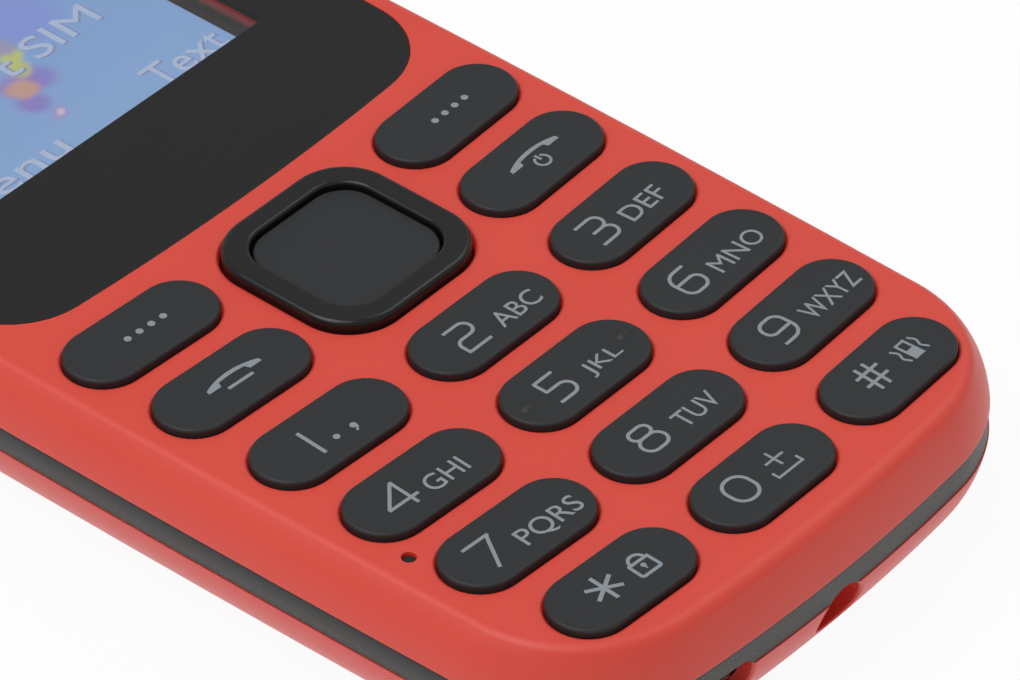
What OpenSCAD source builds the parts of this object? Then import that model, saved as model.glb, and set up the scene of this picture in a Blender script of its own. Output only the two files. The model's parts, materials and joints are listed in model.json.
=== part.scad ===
// Candy-bar feature phone lying on its back, built up as the pieces that it comes apart into.
// X runs across the phone, Y towards the earpiece and Z out of the front face.
// The flat back rests on Z = 0 under the middle of the phone. All sizes are in millimetres.

/* [Outline] */
// Plan radius of the four corners
corner_r = 11.9; // [10.5:0.1:15]
// Plan radius of the gently bowed ends
end_r = 141; // [90:1:300]
// Plan radius of the gently bowed long sides
side_r = 1420; // [800:10:4000]

/* [Shells] */
// Height of the front shell's visible wall
front_h = 4.1; // [3.5:0.1:5]
// Height of the dark band between the shells
band_h = 2; // [1.5:0.1:3]
// How far the front shell's wall leans in between the band and the face
wall_lean = 1.2; // [0.6:0.1:1.4]
// Radius of the soft edge round the front face
face_edge_r = 1.1; // [0.8:0.1:1.2]
// Thickness of the front shell's wall
wall_t = 1.2; // [0.9:0.1:1.4]
// Thickness of the front plate that the keys pass through
plate_t = 1.5; // [1.3:0.1:2.2]
// Thickness of the back cover
cover_t = 1.1; // [0.8:0.1:1.6]
// Lean of the back cover's rim from the upright, in degrees
cover_lean = 8.8; // [5:0.1:14]
// Room between the back cover and the rear housing
cover_gap = 0.15; // [0.1:0.05:0.4]
// Thickness of the battery bay's floor
floor_t = 0.7; // [0.5:0.1:1.2]

/* [Keys] */
// Length of a key
key_l = 12.25; // [11.8:0.05:12.8]
// Length of a key in the bottom row, where the corners close in
bottom_key_l = 11.45; // [10.5:0.05:11.8]
// Width of a key, whose ends are half round
key_w = 5.65; // [5:0.05:6.1]
// Distance between the key columns
col_pitch = 14.5; // [14.2:0.1:16]
// Distance between the key rows
row_pitch = 7.84; // [7.5:0.02:9]
// Distance from the call row down to the first number row
upper_gap = 8.21; // [8:0.01:10]
// How much lower the middle column sits than the outer ones
middle_drop = 0.48; // [0:0.02:0.8]
// Turn of the outer keys, whose outer ends sit higher, in degrees
key_turn = 2.9; // [0:0.1:4]
// How far the keys stand above the face
key_proud = 0.47; // [0.2:0.01:1]
// How far a key travels when it is pressed
key_travel = 0.3; // [0.2:0.02:0.4]
// Gap round a key in its hole
key_gap = 0.2; // [0.15:0.01:0.3]
// Width of the lip that keeps a key under the plate
key_lip = 0.4; // [0.35:0.01:0.5]
// Room outside the outer keys, out to the band
side_margin = 3.825; // [3.7:0.005:6]
// Distance from the bottom end up to the bottom key row
keypad_margin = 7.08; // [7:0.02:10]

/* [Rocker] */
// Width of the square rocker
nav_w = 14.2; // [13.8:0.1:14.6]
// Corner radius of the rocker
nav_r = 4.1; // [3:0.1:5]
// How far the rocker stands above the face
nav_proud = 0.67; // [0.4:0.01:1.2]
// Width of the rocker's rim round the middle key
nav_rim = 1.5; // [1.2:0.1:2]
// Corner radius of the key inside the rocker
ok_r = 2.7; // [2:0.1:3.5]
// Distance from the call row up to the rocker's middle
nav_rise = 3.39; // [3:0.01:4]

/* [Display] */
// Width of the lit picture
view_w = 28; // [26:0.1:29]
// Length of the lit picture
view_l = 35; // [33:0.1:40]
// Width of the display panel
panel_w = 34; // [32:0.1:36]
// Thickness of the display panel
panel_t = 2.4; // [2:0.1:3]
// Length of the panel's driver ledge below the picture
panel_ledge = 7.3; // [5:0.1:9]
// Margin of the panel above the picture
panel_brow = 2.3; // [1.5:0.1:3]
// Thickness of the lens
lens_t = 0.8; // [0.6:0.05:1]
// Thickness of the lens adhesive
adhesive_t = 0.15; // [0.1:0.01:0.2]
// Distance from the band's outline in to the lens
lens_margin = 2.25; // [2.2:0.05:3.2]
// Plan radius of the lens's lower edge
lens_end_r = 220; // [100:10:400]
// Corner radius of the lens's lower edge
lens_corner_r = 6.3; // [4:0.1:9]
// Distance from the soft key row up to the lens
lens_gap = 4.75; // [4.6:0.05:7]
// Distance from the lens's lower edge up to the picture
chin = 13.3; // [12:0.1:18]
// Distance from the picture up to the earpiece
brow = 6.9; // [6.8:0.1:10]
// Distance from the earpiece up to the lens's upper edge
ear_margin = 4.35; // [3.8:0.05:8]

/* [Inside] */
// Width of the battery
battery_w = 34; // [32:0.1:34.4]
// Length of the battery
battery_l = 53; // [48:0.1:55]
// Thickness of the battery
battery_t = 4.4; // [4:0.1:6]
// Thickness of the main board
board_t = 0.9; // [0.7:0.1:1.2]
// Height of the shield cans
can_h = 1.25; // [1.1:0.05:2]
// Width of the charging socket
socket_w = 7.5; // [7:0.1:8.4]
// Height of the charging socket
socket_h = 2.65; // [2.5:0.05:2.9]
// Diameter of the loudspeaker
speaker_d = 15; // [12:0.5:15]
// Diameter of the vibrator motor
vibrator_d = 4; // [3:0.1:4.4]

/* [Hidden] */

$fn = 48;
// How far a cut runs past the face that it opens
over = 1;

// Colours
RED = [0.84, 0.31, 0.27];
DARK_RED = [0.72, 0.24, 0.21];
BAND_GREY = [0.33, 0.33, 0.32];
KEY_GREY = [0.22, 0.23, 0.24];
BLACK = [0.1, 0.1, 0.11];
GREEN = [0.1, 0.36, 0.2];
METAL = [0.75, 0.75, 0.73];
GOLD = [0.83, 0.66, 0.3];
RUBBER = [0.6, 0.6, 0.58];
FOAM = [0.16, 0.16, 0.16];
WHITE = [0.9, 0.9, 0.88];
SCREEN = [0.53, 0.66, 0.82];
BROWN = [0.55, 0.33, 0.12];
FILM = [0.85, 0.85, 0.8];
CASE = [0.3, 0.34, 0.42];

// Heights, added up from the back
battery_room = 0.35;
bay_room = 0.1;
can_room = 0.1;
frame_t = 0.3;
lens_fit = 0.1;
gasket_t = 0.4;
battery_z = cover_t + battery_room;
floor_z = battery_z + battery_t + bay_room;
floor_top_z = floor_z + floor_t;
can_z = floor_top_z + can_room;
board_z = can_z + can_h;
board_top_z = board_z + board_t;
panel_z = board_top_z + frame_t;
panel_top_z = panel_z + panel_t;
plate_z = panel_top_z + gasket_t;
face_z = plate_z + plate_t;
lens_z = face_z - lens_t;
pocket_z = lens_z - adhesive_t;
band_top_z = face_z - front_h;
band_z = band_top_z - band_h;

// Heights of what the keys are made of
dome_h = 0.3;
press_room = 0.05;
lip_room = 0.25;
lip_t = 0.55;
web_t = 0.5;
web_room = 0.1;
dome_top_z = board_top_z + dome_h;
plunger_z = dome_top_z + key_travel + press_room;
lip_z = plate_z - lip_room - lip_t;
web_top_z = lip_z - key_travel - web_room;
web_z = web_top_z - web_t;

// Lengths, added up from the bottom end
number_rows = 4;
lens_l = chin + view_l + brow + ear_margin;
body_w = 2 * (col_pitch + key_l / 2 + side_margin);
body_l = keypad_margin + number_rows * row_pitch + upper_gap + lens_gap + lens_l + lens_margin;
bottom_y = -body_l / 2;
bottom_row_y = bottom_y + keypad_margin;
call_y = bottom_row_y + (number_rows - 1) * row_pitch + upper_gap;
soft_y = call_y + row_pitch;
nav_y = call_y + nav_rise;
lens_y = soft_y + lens_gap;
view_y = lens_y + chin + view_l / 2;
ear_y = lens_y + chin + view_l + brow;

// Rows from the soft keys down, and how far each row's outer keys stray from the column pitch
column_spread = [0.6, 0.4, 0.1, 0, -0.25, -1.05];
function row_y(i) = i < 2 ? soft_y - i * row_pitch : bottom_row_y + (5 - i) * row_pitch;
function row_key_l(i) = i == 5 ? bottom_key_l : key_l;
function key_spot(side, row) =
    side == 0 ? [0, row_y(row) - middle_drop] : [side * (col_pitch + column_spread[row]), row_y(row)];

// Each key: its name, its column from left (-1) to right (1) and its row
KEYS = [
    ["key_soft_left", -1, 0], ["key_soft_right", 1, 0],
    ["key_call", -1, 1], ["key_end", 1, 1],
    ["key_1", -1, 2], ["key_2", 0, 2], ["key_3", 1, 2],
    ["key_4", -1, 3], ["key_5", 0, 3], ["key_6", 1, 3],
    ["key_7", -1, 4], ["key_8", 0, 4], ["key_9", 1, 4],
    ["key_star", -1, 5], ["key_0", 0, 5], ["key_hash", 1, 5]];

// The rocker and what lies under it
nav_gap = 0.2;
nav_lip = 0.6;
nav_lip_room = 0.6;
nav_lip_t = 0.5;
nav_tilt_room = 0.3;
nav_pad_t = 0.4;
nav_pad_inset = 0.3;
nav_pad_w = nav_w - 2 * nav_pad_inset;
nav_lip_z = plate_z - nav_lip_room - nav_lip_t;
nav_pad_top_z = nav_lip_z - nav_tilt_room;
nav_pad_z = nav_pad_top_z - nav_pad_t;
nav_press_r = 6.2;
nav_dome_r = 1.5;
ok_w = nav_w - 2 * (nav_rim + nav_gap);
ok_top = 0.05;
ok_base = 0.35;

// Plungers, domes and the lamps between them
plunger_r = 1.4;
plunger_gap = 0.25;
dome_r = 2.1;
dome_gap = 0.1;
film_t = 0.1;
film_margin = 1;
part_gap = 0.2;
led_size = [1.6, 0.8, 0.6];
LED_SPOTS = [
    for (side = [-1, 1]) [side * col_pitch / 2, (row_y(3) + row_y(4)) / 2],
    for (row = [2:4]) [0, (row_y(row) + row_y(row + 1)) / 2 - middle_drop]];

// Web of the keypad, with its feet on the board
web_inset = 2.7;
web_foot_r = 0.7;
web_nav_gap = 0.4;
web_top_y = lens_y - lens_fit;
WEB_FEET = [
    for (side = [-1, 1]) for (row = [0, 2, 4])
        [side * col_pitch, (row_y(row) + row_y(row + 1)) / 2]];

// Screws: shank, head, the bosses they pass and where they stand
screw_r = 0.7;
screw_gap = 0.02;
screw_head_r = 1.3;
screw_head_t = 0.8;
screw_depth = 0.95;
screw_seat_z = floor_z - screw_depth;
screw_bite = 2.5;
screw_room = 0.2;
screw_edge = 7.95;
screw_drop = 1.2;
upper_shift = [0.15, -0.2];
lower_shift = [-0.05, 0];
boss_r = 1.6;
rear_boss_r = 2;
head_gap = 0.15;
shank_gap = 0.1;
SCREWS = [
    for (side = [-1, 1]) each [
        [side * (body_w / 2 - screw_edge), ear_y - screw_drop],
        [side * (col_pitch / 2 + upper_shift[0]), (row_y(2) + row_y(3)) / 2 + upper_shift[1]],
        [side * (col_pitch / 2 + lower_shift[0]), (row_y(4) + row_y(5)) / 2 + lower_shift[1]]]];

// Rear housing
lip_in = 1.5;
cavity_inset = 2.4;
tongue_h = 0.7;
board_gap = 0.5;
board_inset = cavity_inset + board_gap;
rear_gap = 0.5;
rear_z = cover_t + rear_gap;
chamber_t = 1;
chamber_z = rear_z + chamber_t;
chamber_inset = 6.2;
bay_gap = 0.3;
bay_wall = 1;
bay_r = 1;
battery_rise = 8.1;
battery_y = lens_y + battery_rise;
bay_top_y = battery_y + battery_l / 2 + bay_gap;
bay_bottom_y = battery_y - battery_l / 2 - bay_gap;

// Microphone beside the number keys
mic_inset = 0.63;
mic_rise = 0.16;
mic_spot = [-(col_pitch + key_l / 2 - mic_inset), (row_y(3) + row_y(4)) / 2 + mic_rise];
mic_hole_r = 0.5;
mic_size = [3, 2.4, 1];
mic_shift = 0.6;
boot_r = 1;
boot_gap = 0.5;

// Earpiece
ear_slot_l = 9;
ear_slot_w = 1.3;
ear_size = [11, 6, 2.4];
ear_rim = 1;
mesh_t = 0.1;
mesh_rim = 0.45;

// Display parts round the panel
view_rim = 1;
tape_inset = 0.3;
foam_inset = 0.2;
panel_l = view_l + panel_ledge + panel_brow;
panel_y = view_y + (panel_brow - panel_ledge) / 2;
frame_gap = 0.15;
frame_wall = 0.7;
frame_h = 1.9;
frame_shelf = 3;
flex_w = 9;
flex_t = 0.14;
flex_l = 3;
flex_room = 0.5;
flex_step = 0.3;
flex_slope = 0.9;

// Bottom end: the charging opening and the nail notch
socket_x = -12.3;
socket_l = 5.2;
socket_wall = 0.3;
socket_front = 2.1;
socket_y = bottom_y + socket_front;
port_depth = 0.2;
port_gap = 0.3;
port_r = 0.6;
nail_x = -0.37;
nail_r = 2.3;
nail_drop = 1.63;
nail_z = band_z - nail_drop;
nail_depth = 2.8;
nail_wall = 0.8;
nail_room = 0.3;

// Top chamber: loudspeaker and vibrator
chamber_drop = 9;
speaker_spot = [8.5, ear_y - chamber_drop];
speaker_t = 3;
speaker_slots = 5;
slot_w = 1;
slot_pitch = 2;
slot_l = 9;
vibrator_y = ear_y - chamber_drop;
vibrator_l = 7;
vibrator_x = -15.5;
vibrator_room = 0.15;
vibrator_z = chamber_z + vibrator_d / 2 + vibrator_room;
shaft_r = 0.4;
shaft_gap = 0.05;
shaft_free = 4.3;
weight_step = 0.1;
weight_r = vibrator_d / 2 - weight_step;
weight_l = 3.2;
weight_gap = 0.6;

// On the back of the board
sheet_t = 0.2;
chip_t = 0.8;
radio_can = [15, 16];
radio_spot = [10, battery_y + 9.1];
base_can = [26, 14];
base_spot = [0, battery_y - 14.9];
chip_share = 0.7;
sim_size = [17, 16];
sim_spot = [-8, battery_y + 9.1];
sim_rim = 1;
sim_rail = 1.5;
sim_slot_t = 0.8;
contact_x = -8;
contact_size = [8, 4];
contact_h = 4.8;
contact_gap = 0.2;
contact_y = bay_top_y + bay_wall + contact_gap;
blade_pitch = 2.5;
blade_w = 0.6;
blade_h = 2;
antenna_size = [30, 7];
antenna_y = (row_y(3) + row_y(4)) / 2;
antenna_leg = [2, 1];

// Steps of the outline's arcs and of the shells' curved edges
side_steps = 2;
corner_steps = 9;
end_steps = 3;
edge_steps = 5;
cover_steps = 6;

// Points on an arc about c from angle a0 up to, but not including, angle a1
function arc(c, r, a0, a1, n) =
    [for (i = [0:n - 1]) c + r * [cos(a0 + (a1 - a0) * i / n), sin(a0 + (a1 - a0) * i / n)]];

// First quarter of an oval whose bowed side, corner and bowed end are tangent arcs
function oval_quarter(hw, hl, rs, re, rc) =
    let (side_c = [hw - rs, 0])
    let (end_c = [0, hl - re])
    let (span = norm(side_c - end_c))
    let (dir = (side_c - end_c) / span)
    let (along = ((re - rc) ^ 2 - (rs - rc) ^ 2 + span ^ 2) / (2 * span))
    let (off = sqrt((re - rc) ^ 2 - along ^ 2))
    let (corner_c = end_c + along * dir + off * [dir[1], -dir[0]])
    let (a_side = atan2(corner_c[1] - side_c[1], corner_c[0] - side_c[0]))
    let (a_end = atan2(corner_c[1] - end_c[1], corner_c[0] - end_c[0]))
    concat(
        arc(side_c, rs, 0, a_side, side_steps),
        arc(corner_c, rc, a_side, a_end, corner_steps),
        arc(end_c, re, a_end, 90, end_steps),
        [[0, hl]]);

// Whole oval from its first quarter
function oval_ring(hw, hl, rs, re, rc) =
    let (q = oval_quarter(hw, hl, rs, re, rc))
    let (n = len(q) - 1)
    concat(
        q,
        [for (i = [n - 1:-1:0]) [-q[i][0], q[i][1]]],
        [for (i = [1:n]) [-q[i][0], -q[i][1]]],
        [for (i = [n - 1:-1:1]) [q[i][0], -q[i][1]]]);

// The phone's outline at the band, drawn in by an even inset
function body_ring(inset) =
    oval_ring(body_w / 2 - inset, body_l / 2 - inset, side_r - inset, end_r - inset, corner_r - inset);

// Inset of the front shell's outer wall at a height
function wall_inset(z) = wall_lean * (z - band_top_z) / front_h;

// Sections of the front shell, as inset and height, from the band up over the soft edge
wall_a = atan2(wall_lean, front_h);
edge_inset = wall_lean + face_edge_r * tan((90 - wall_a) / 2);
front_rings = concat(
    [[0, band_top_z]],
    [for (i = [0:edge_steps])
        let (a = wall_a + (90 - wall_a) * i / edge_steps)
        [edge_inset - face_edge_r * cos(a), face_z - face_edge_r * (1 - sin(a))]]);
front_cavity = [
    [wall_t + wall_inset(band_top_z - over), band_top_z - over],
    [wall_t + wall_inset(plate_z), plate_z]];

// Outline that keeps the keys' lips clear of the front shell's wall
lip_inset = wall_t + wall_inset(plate_z) + key_gap;

// Sections of a skin inside the back cover's curve, from height z0 up to the band
cover_r = band_z / (1 - sin(cover_lean));
cover_inset = cover_r * cos(cover_lean);
function cover_rings(skin, z0) =
    let (r = cover_r - skin)
    let (a0 = acos(min(1, (cover_r - z0) / r)))
    let (a1 = acos((cover_r - band_z) / r))
    [for (i = [0:cover_steps])
        let (a = a0 + (a1 - a0) * i / cover_steps)
        [cover_inset - r * sin(a), cover_r - r * cos(a)]];

// A solid through sections of the phone's outline
module loft(rings) {
    n = len(body_ring(0));
    top = (len(rings) - 1) * n;
    points = [for (r = rings) for (p = body_ring(r[0])) [p[0], p[1], r[1]]];
    walls = [for (k = [0:len(rings) - 2]) for (i = [0:n - 1])
        let (j = (i + 1) % n)
        each [
            [k * n + i, (k + 1) * n + i, (k + 1) * n + j],
            [k * n + i, (k + 1) * n + j, k * n + j]]];
    caps = [[for (i = [0:n - 1]) i], [for (i = [n - 1:-1:0]) top + i]];
    polyhedron(points, concat(walls, caps));
}

// A flat outline raised from height z0 to height z1
module slab(z0, z1) {
    translate([0, 0, z0])
        linear_extrude(z1 - z0)
            children();
}

// A bar with half-round ends
module stadium(l, w) {
    square([l - w, w], center = true);
    for (side = [-1, 1])
        translate([side * (l - w) / 2, 0])
            circle(w / 2);
}

// A rectangle with round corners
module rounded(w, l, r) {
    square([w - 2 * r, l], center = true);
    square([w, l - 2 * r], center = true);
    for (x = [-1, 1])
        for (y = [-1, 1])
            translate([x * (w / 2 - r), y * (l / 2 - r)])
                circle(r);
}

// The lens's outline, grown by an even amount
module lens_outline(grow) {
    half_l = body_l / 2;
    intersection() {
        polygon(body_ring(lens_margin - grow));
        translate([0, lens_y + half_l])
            polygon(oval_ring(body_w / 2 - lens_margin + grow, half_l + grow, side_r,
                lens_end_r + grow, lens_corner_r + grow));
    }
}

// The opening that the picture is seen through, grown by an even amount
module view_outline(grow) {
    translate([0, view_y])
        square([view_w + 2 * (view_rim + grow), view_l + 2 * (view_rim + grow)], center = true);
}

// Children placed at the middle of a key and turned with it
module at_key(key) {
    spot = key_spot(key[1], key[2]);
    translate([spot[0], spot[1], 0])
        rotate([0, 0, key[1] * key_turn])
            children();
}

module at_screws() {
    for (spot = SCREWS)
        translate([spot[0], spot[1], 0])
            children();
}

module at_nav() {
    translate([0, nav_y, 0])
        children();
}

// Children placed where the rocker presses its four domes
module at_nav_domes() {
    at_nav()
        for (a = [0:90:270])
            rotate([0, 0, a])
                translate([nav_press_r, 0, 0])
                    children();
}

module at_mic() {
    translate([mic_spot[0], mic_spot[1], 0])
        children();
}

module at_ear() {
    translate([0, ear_y, 0])
        children();
}

module at_speaker() {
    translate([speaker_spot[0], speaker_spot[1], 0])
        children();
}

module speaker_slots_2d() {
    for (i = [0:speaker_slots - 1])
        translate([(i - (speaker_slots - 1) / 2) * slot_pitch, 0])
            rotate(90)
                stadium(slot_l, slot_w);
}

// Red front shell: wall and plate, with the screw bosses and all the openings of the face
module front_housing() {
    color(RED)
        difference() {
            union() {
                difference() {
                    loft(front_rings);
                    loft(front_cavity);
                }
                at_screws()
                    slab(board_top_z, plate_z + plate_t / 4)
                        circle(boss_r);
            }
            at_screws()
                slab(board_top_z - over, board_top_z + screw_bite + screw_room)
                    circle(screw_r + screw_gap);
            for (key = KEYS)
                at_key(key)
                    slab(plate_z - over, face_z + over)
                        stadium(row_key_l(key[2]) + 2 * key_gap, key_w + 2 * key_gap);
            at_nav()
                slab(plate_z - over, face_z + over)
                    rounded(nav_w + 2 * nav_gap, nav_w + 2 * nav_gap, nav_r + nav_gap);
            slab(pocket_z, face_z + over)
                lens_outline(lens_fit);
            slab(plate_z - over, face_z)
                view_outline(0);
            at_ear()
                slab(plate_z - over, face_z)
                    stadium(ear_slot_l, ear_slot_w);
            at_mic()
                slab(plate_z - over, face_z + over)
                    circle(mic_hole_r);
        }
}

// Tinted lens, flush with the face, with the earpiece slot
module display_lens() {
    color(BLACK)
        difference() {
            slab(lens_z, face_z)
                lens_outline(0);
            at_ear()
                slab(lens_z - over, face_z + over)
                    stadium(ear_slot_l, ear_slot_w);
        }
}

// Tape that holds the lens in its recess
module lens_adhesive() {
    color(FOAM)
        difference() {
            slab(pocket_z, lens_z)
                lens_outline(-tape_inset);
            slab(pocket_z - over, lens_z + over)
                view_outline(tape_inset);
            at_ear()
                slab(pocket_z - over, lens_z + over)
                    stadium(ear_slot_l + 4 * mesh_rim, ear_slot_w + 4 * mesh_rim);
        }
}

module display_panel() {
    color(SCREEN)
        translate([0, panel_y, 0])
            slab(panel_z, panel_top_z)
                square([panel_w, panel_l], center = true);
}

// Foam ring between the panel and the front shell
module display_gasket() {
    color(FOAM)
        difference() {
            translate([0, panel_y, 0])
                slab(panel_top_z, plate_z)
                    square([panel_w - 2 * foam_inset, panel_l - 2 * foam_inset], center = true);
            slab(panel_top_z - over, plate_z + over)
                view_outline(foam_inset);
        }
}

// Tray that holds the panel on the board
module display_frame() {
    room = 2 * frame_gap;
    wall = 2 * frame_wall;
    color(WHITE)
        translate([0, panel_y, 0])
            difference() {
                slab(board_top_z, panel_z + frame_h)
                    square([panel_w + room + wall, panel_l + room + wall], center = true);
                slab(panel_z, panel_z + frame_h + over)
                    square([panel_w + room, panel_l + room], center = true);
                slab(board_top_z - over, panel_z + over)
                    square([panel_w - 2 * frame_shelf, panel_l - 2 * frame_shelf], center = true);
                translate([0, -panel_l / 2, 0])
                    slab(panel_z, panel_z + frame_h + over)
                        square([flex_w + 2 * flex_room, 3 * frame_wall], center = true);
            }
}

// Ribbon from the panel's ledge down to the board
module display_flex() {
    y0 = panel_y - panel_l / 2;
    y1 = y0 - frame_gap - frame_wall - flex_step;
    y2 = y1 - flex_slope;
    z0 = panel_z + flex_step;
    color(BROWN)
        translate([-flex_w / 2, 0, 0])
            rotate([90, 0, 90])
                linear_extrude(flex_w)
                    polygon([
                        [y0, z0], [y0, z0 + flex_t], [y1, z0 + flex_t], [y2, board_top_z + flex_t],
                        [y2 - flex_l, board_top_z + flex_t], [y2 - flex_l, board_top_z],
                        [y2, board_top_z], [y1, z0]]);
}

// Dust mesh under the earpiece slot
module earpiece_mesh() {
    color(BLACK)
        at_ear()
            slab(pocket_z, pocket_z + mesh_t)
                stadium(ear_slot_l + 2 * mesh_rim, ear_slot_w + 2 * mesh_rim);
}

module earpiece_gasket() {
    color(FOAM)
        at_ear()
            difference() {
                slab(panel_top_z, plate_z)
                    square([ear_size[0], ear_size[1]], center = true);
                slab(panel_top_z - over, plate_z + over)
                    square([ear_size[0] - 2 * ear_rim, ear_size[1] - 2 * ear_rim], center = true);
            }
}

module earpiece_speaker() {
    color(METAL)
        at_ear()
            slab(panel_top_z - ear_size[2], panel_top_z)
                rounded(ear_size[0], ear_size[1], ear_rim);
}

// One key: cap, the plunger that presses its dome and a retaining lip, trimmed clear of the wall
module keycap(key) {
    l = row_key_l(key[2]);
    color(KEY_GREY) {
        at_key(key) {
            slab(lip_z, face_z + key_proud)
                stadium(l, key_w);
            slab(plunger_z, lip_z + lip_t)
                circle(plunger_r);
        }
        slab(lip_z, lip_z + lip_t)
            intersection() {
                at_key(key)
                    stadium(l + 2 * key_lip, key_w + 2 * key_lip);
                polygon(body_ring(lip_inset));
            }
    }
}

// Square rocker round the middle key
module nav_ring() {
    hole_w = ok_w + 2 * nav_gap;
    color(KEY_GREY)
        at_nav()
            difference() {
                union() {
                    slab(nav_lip_z, face_z + nav_proud)
                        rounded(nav_w, nav_w, nav_r);
                    slab(nav_lip_z, nav_lip_z + nav_lip_t)
                        rounded(nav_w + 2 * nav_lip, nav_w + 2 * nav_lip, nav_r + nav_lip);
                }
                slab(nav_lip_z - over, face_z + nav_proud + over)
                    rounded(hole_w, hole_w, ok_r + nav_gap);
            }
}

// Rubber pad that carries the rocker over its four domes
module nav_pad() {
    hole_w = ok_w + 3 * nav_gap;
    color(RUBBER)
        difference() {
            union() {
                at_nav()
                    slab(nav_pad_z, nav_pad_top_z)
                        rounded(nav_pad_w, nav_pad_w, nav_r - nav_pad_inset);
                at_nav_domes()
                    slab(plunger_z, nav_pad_z + nav_pad_t / 2)
                        circle(nav_dome_r / 3);
            }
            at_nav()
                slab(nav_pad_z - over, nav_pad_top_z + over)
                    rounded(hole_w, hole_w, ok_r + nav_gap);
        }
}

// Square key inside the rocker
module ok_key() {
    color(KEY_GREY)
        at_nav() {
            slab(plunger_z + ok_base, face_z + ok_top)
                rounded(ok_w, ok_w, ok_r);
            slab(plunger_z, plunger_z + 2 * ok_base)
                circle(plunger_r);
        }
}

// Rubber web under the keys, on feet that stand on the board
module keypad_web() {
    nav_hole = nav_w + 2 * (nav_lip + web_nav_gap);
    color(RUBBER)
        union() {
            difference() {
                slab(web_z, web_top_z)
                    intersection() {
                        polygon(body_ring(web_inset));
                        translate([-body_w / 2, bottom_y])
                            square([body_w, web_top_y - bottom_y]);
                    }
                for (key = KEYS)
                    at_key(key)
                        slab(web_z - over, web_top_z + over)
                            circle(plunger_r + plunger_gap);
                at_nav()
                    slab(web_z - over, web_top_z + over)
                        rounded(nav_hole, nav_hole, nav_r);
                at_screws()
                    slab(web_z - over, web_top_z + over)
                        circle(boss_r + shank_gap);
                at_mic()
                    slab(web_z - over, web_top_z + over)
                        translate([-boot_r, 0])
                            square([4 * boot_r, 3 * boot_r], center = true);
            }
            for (spot = WEB_FEET)
                translate([spot[0], spot[1], 0])
                    slab(board_top_z, web_z + web_t / 2)
                        circle(web_foot_r);
        }
}

// Film that keeps the domes in place, open over each one
module dome_film() {
    color(FILM)
        difference() {
            slab(board_top_z, board_top_z + film_t)
                intersection() {
                    polygon(body_ring(board_inset + film_margin));
                    translate([-body_w / 2, bottom_y])
                        square([body_w, web_top_y - bottom_y]);
                }
            for (key = KEYS)
                at_key(key)
                    slab(board_top_z - over, dome_top_z)
                        circle(dome_r + dome_gap);
            at_nav()
                slab(board_top_z - over, dome_top_z)
                    circle(dome_r + dome_gap);
            at_nav_domes()
                slab(board_top_z - over, dome_top_z)
                    circle(nav_dome_r + dome_gap);
            at_screws()
                slab(board_top_z - over, dome_top_z)
                    circle(boss_r + shank_gap);
            for (spot = LED_SPOTS)
                translate([spot[0], spot[1], 0])
                    slab(board_top_z - over, dome_top_z)
                        square([led_size[0] + 2 * part_gap, led_size[1] + 2 * part_gap], center = true);
            for (spot = WEB_FEET)
                translate([spot[0], spot[1], 0])
                    slab(board_top_z - over, dome_top_z)
                        circle(web_foot_r + part_gap);
            at_mic()
                slab(board_top_z - over, dome_top_z)
                    translate([mic_shift, 0])
                        square([mic_size[0] + 2 * part_gap, mic_size[1] + 2 * part_gap], center = true);
        }
}

// A shallow sprung dome standing on the board
module dome(r) {
    translate([0, 0, board_top_z])
        cylinder(h = dome_h, r1 = r, r2 = r / 2);
}

module key_domes() {
    color(METAL) {
        for (key = KEYS)
            at_key(key)
                dome(dome_r);
        at_nav()
            dome(dome_r);
        at_nav_domes()
            dome(nav_dome_r);
    }
}

module keypad_leds() {
    color(WHITE)
        for (spot = LED_SPOTS)
            translate([spot[0], spot[1], board_top_z + led_size[2] / 2])
                cube(led_size, center = true);
}

module main_board() {
    color(GREEN)
        difference() {
            slab(board_z, board_top_z)
                polygon(body_ring(board_inset));
            at_screws()
                slab(board_z - over, board_top_z + over)
                    circle(screw_r + shank_gap);
        }
}

// A folded sheet can, open towards the board
module shield_can(size, spot) {
    color(METAL)
        translate([spot[0], spot[1], 0])
            difference() {
                slab(can_z, board_z)
                    square(size, center = true);
                slab(can_z + sheet_t, board_z + over)
                    square([size[0] - 2 * sheet_t, size[1] - 2 * sheet_t], center = true);
            }
}

module shield_can_radio() {
    shield_can(radio_can, radio_spot);
}

module shield_can_base() {
    shield_can(base_can, base_spot);
}

// Radio, processor and memory chips under the shield cans
module board_chips() {
    chips = [
        [radio_spot[0], radio_spot[1], radio_can[0] / 2],
        [base_spot[0] - base_can[0] / 4, base_spot[1], base_can[1] * chip_share],
        [base_spot[0] + base_can[0] / 4, base_spot[1], base_can[1] / 2]];
    color(BLACK)
        for (chip = chips)
            translate([chip[0], chip[1], 0])
                slab(board_z - chip_t, board_z)
                    square([chip[2], chip[2]], center = true);
}

module microphone() {
    color(METAL)
        at_mic()
            translate([mic_shift, 0, board_top_z + mic_size[2] / 2])
                cube(mic_size, center = true);
}

// Rubber tube that leads sound from the hole in the face to the microphone
module microphone_boot() {
    color(RUBBER)
        at_mic()
            difference() {
                slab(board_top_z + mic_size[2], plate_z)
                    circle(boot_r);
                slab(board_top_z, plate_z + over)
                    circle(boot_r - boot_gap);
            }
}

// Ringer, facing the slots in the back
module loudspeaker() {
    color(BLACK)
        at_speaker()
            slab(chamber_z, chamber_z + speaker_t)
                circle(speaker_d / 2);
}

// Children placed on the motor's axis, which runs along X
module on_vibrator_axis(x) {
    translate([vibrator_x + x, vibrator_y, vibrator_z])
        rotate([0, 90, 0])
            children();
}

module vibrator_can() {
    color(METAL)
        difference() {
            on_vibrator_axis(0)
                cylinder(h = vibrator_l, d = vibrator_d);
            on_vibrator_axis(vibrator_l / 2)
                cylinder(h = vibrator_l, r = shaft_r + shaft_gap);
        }
}

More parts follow.
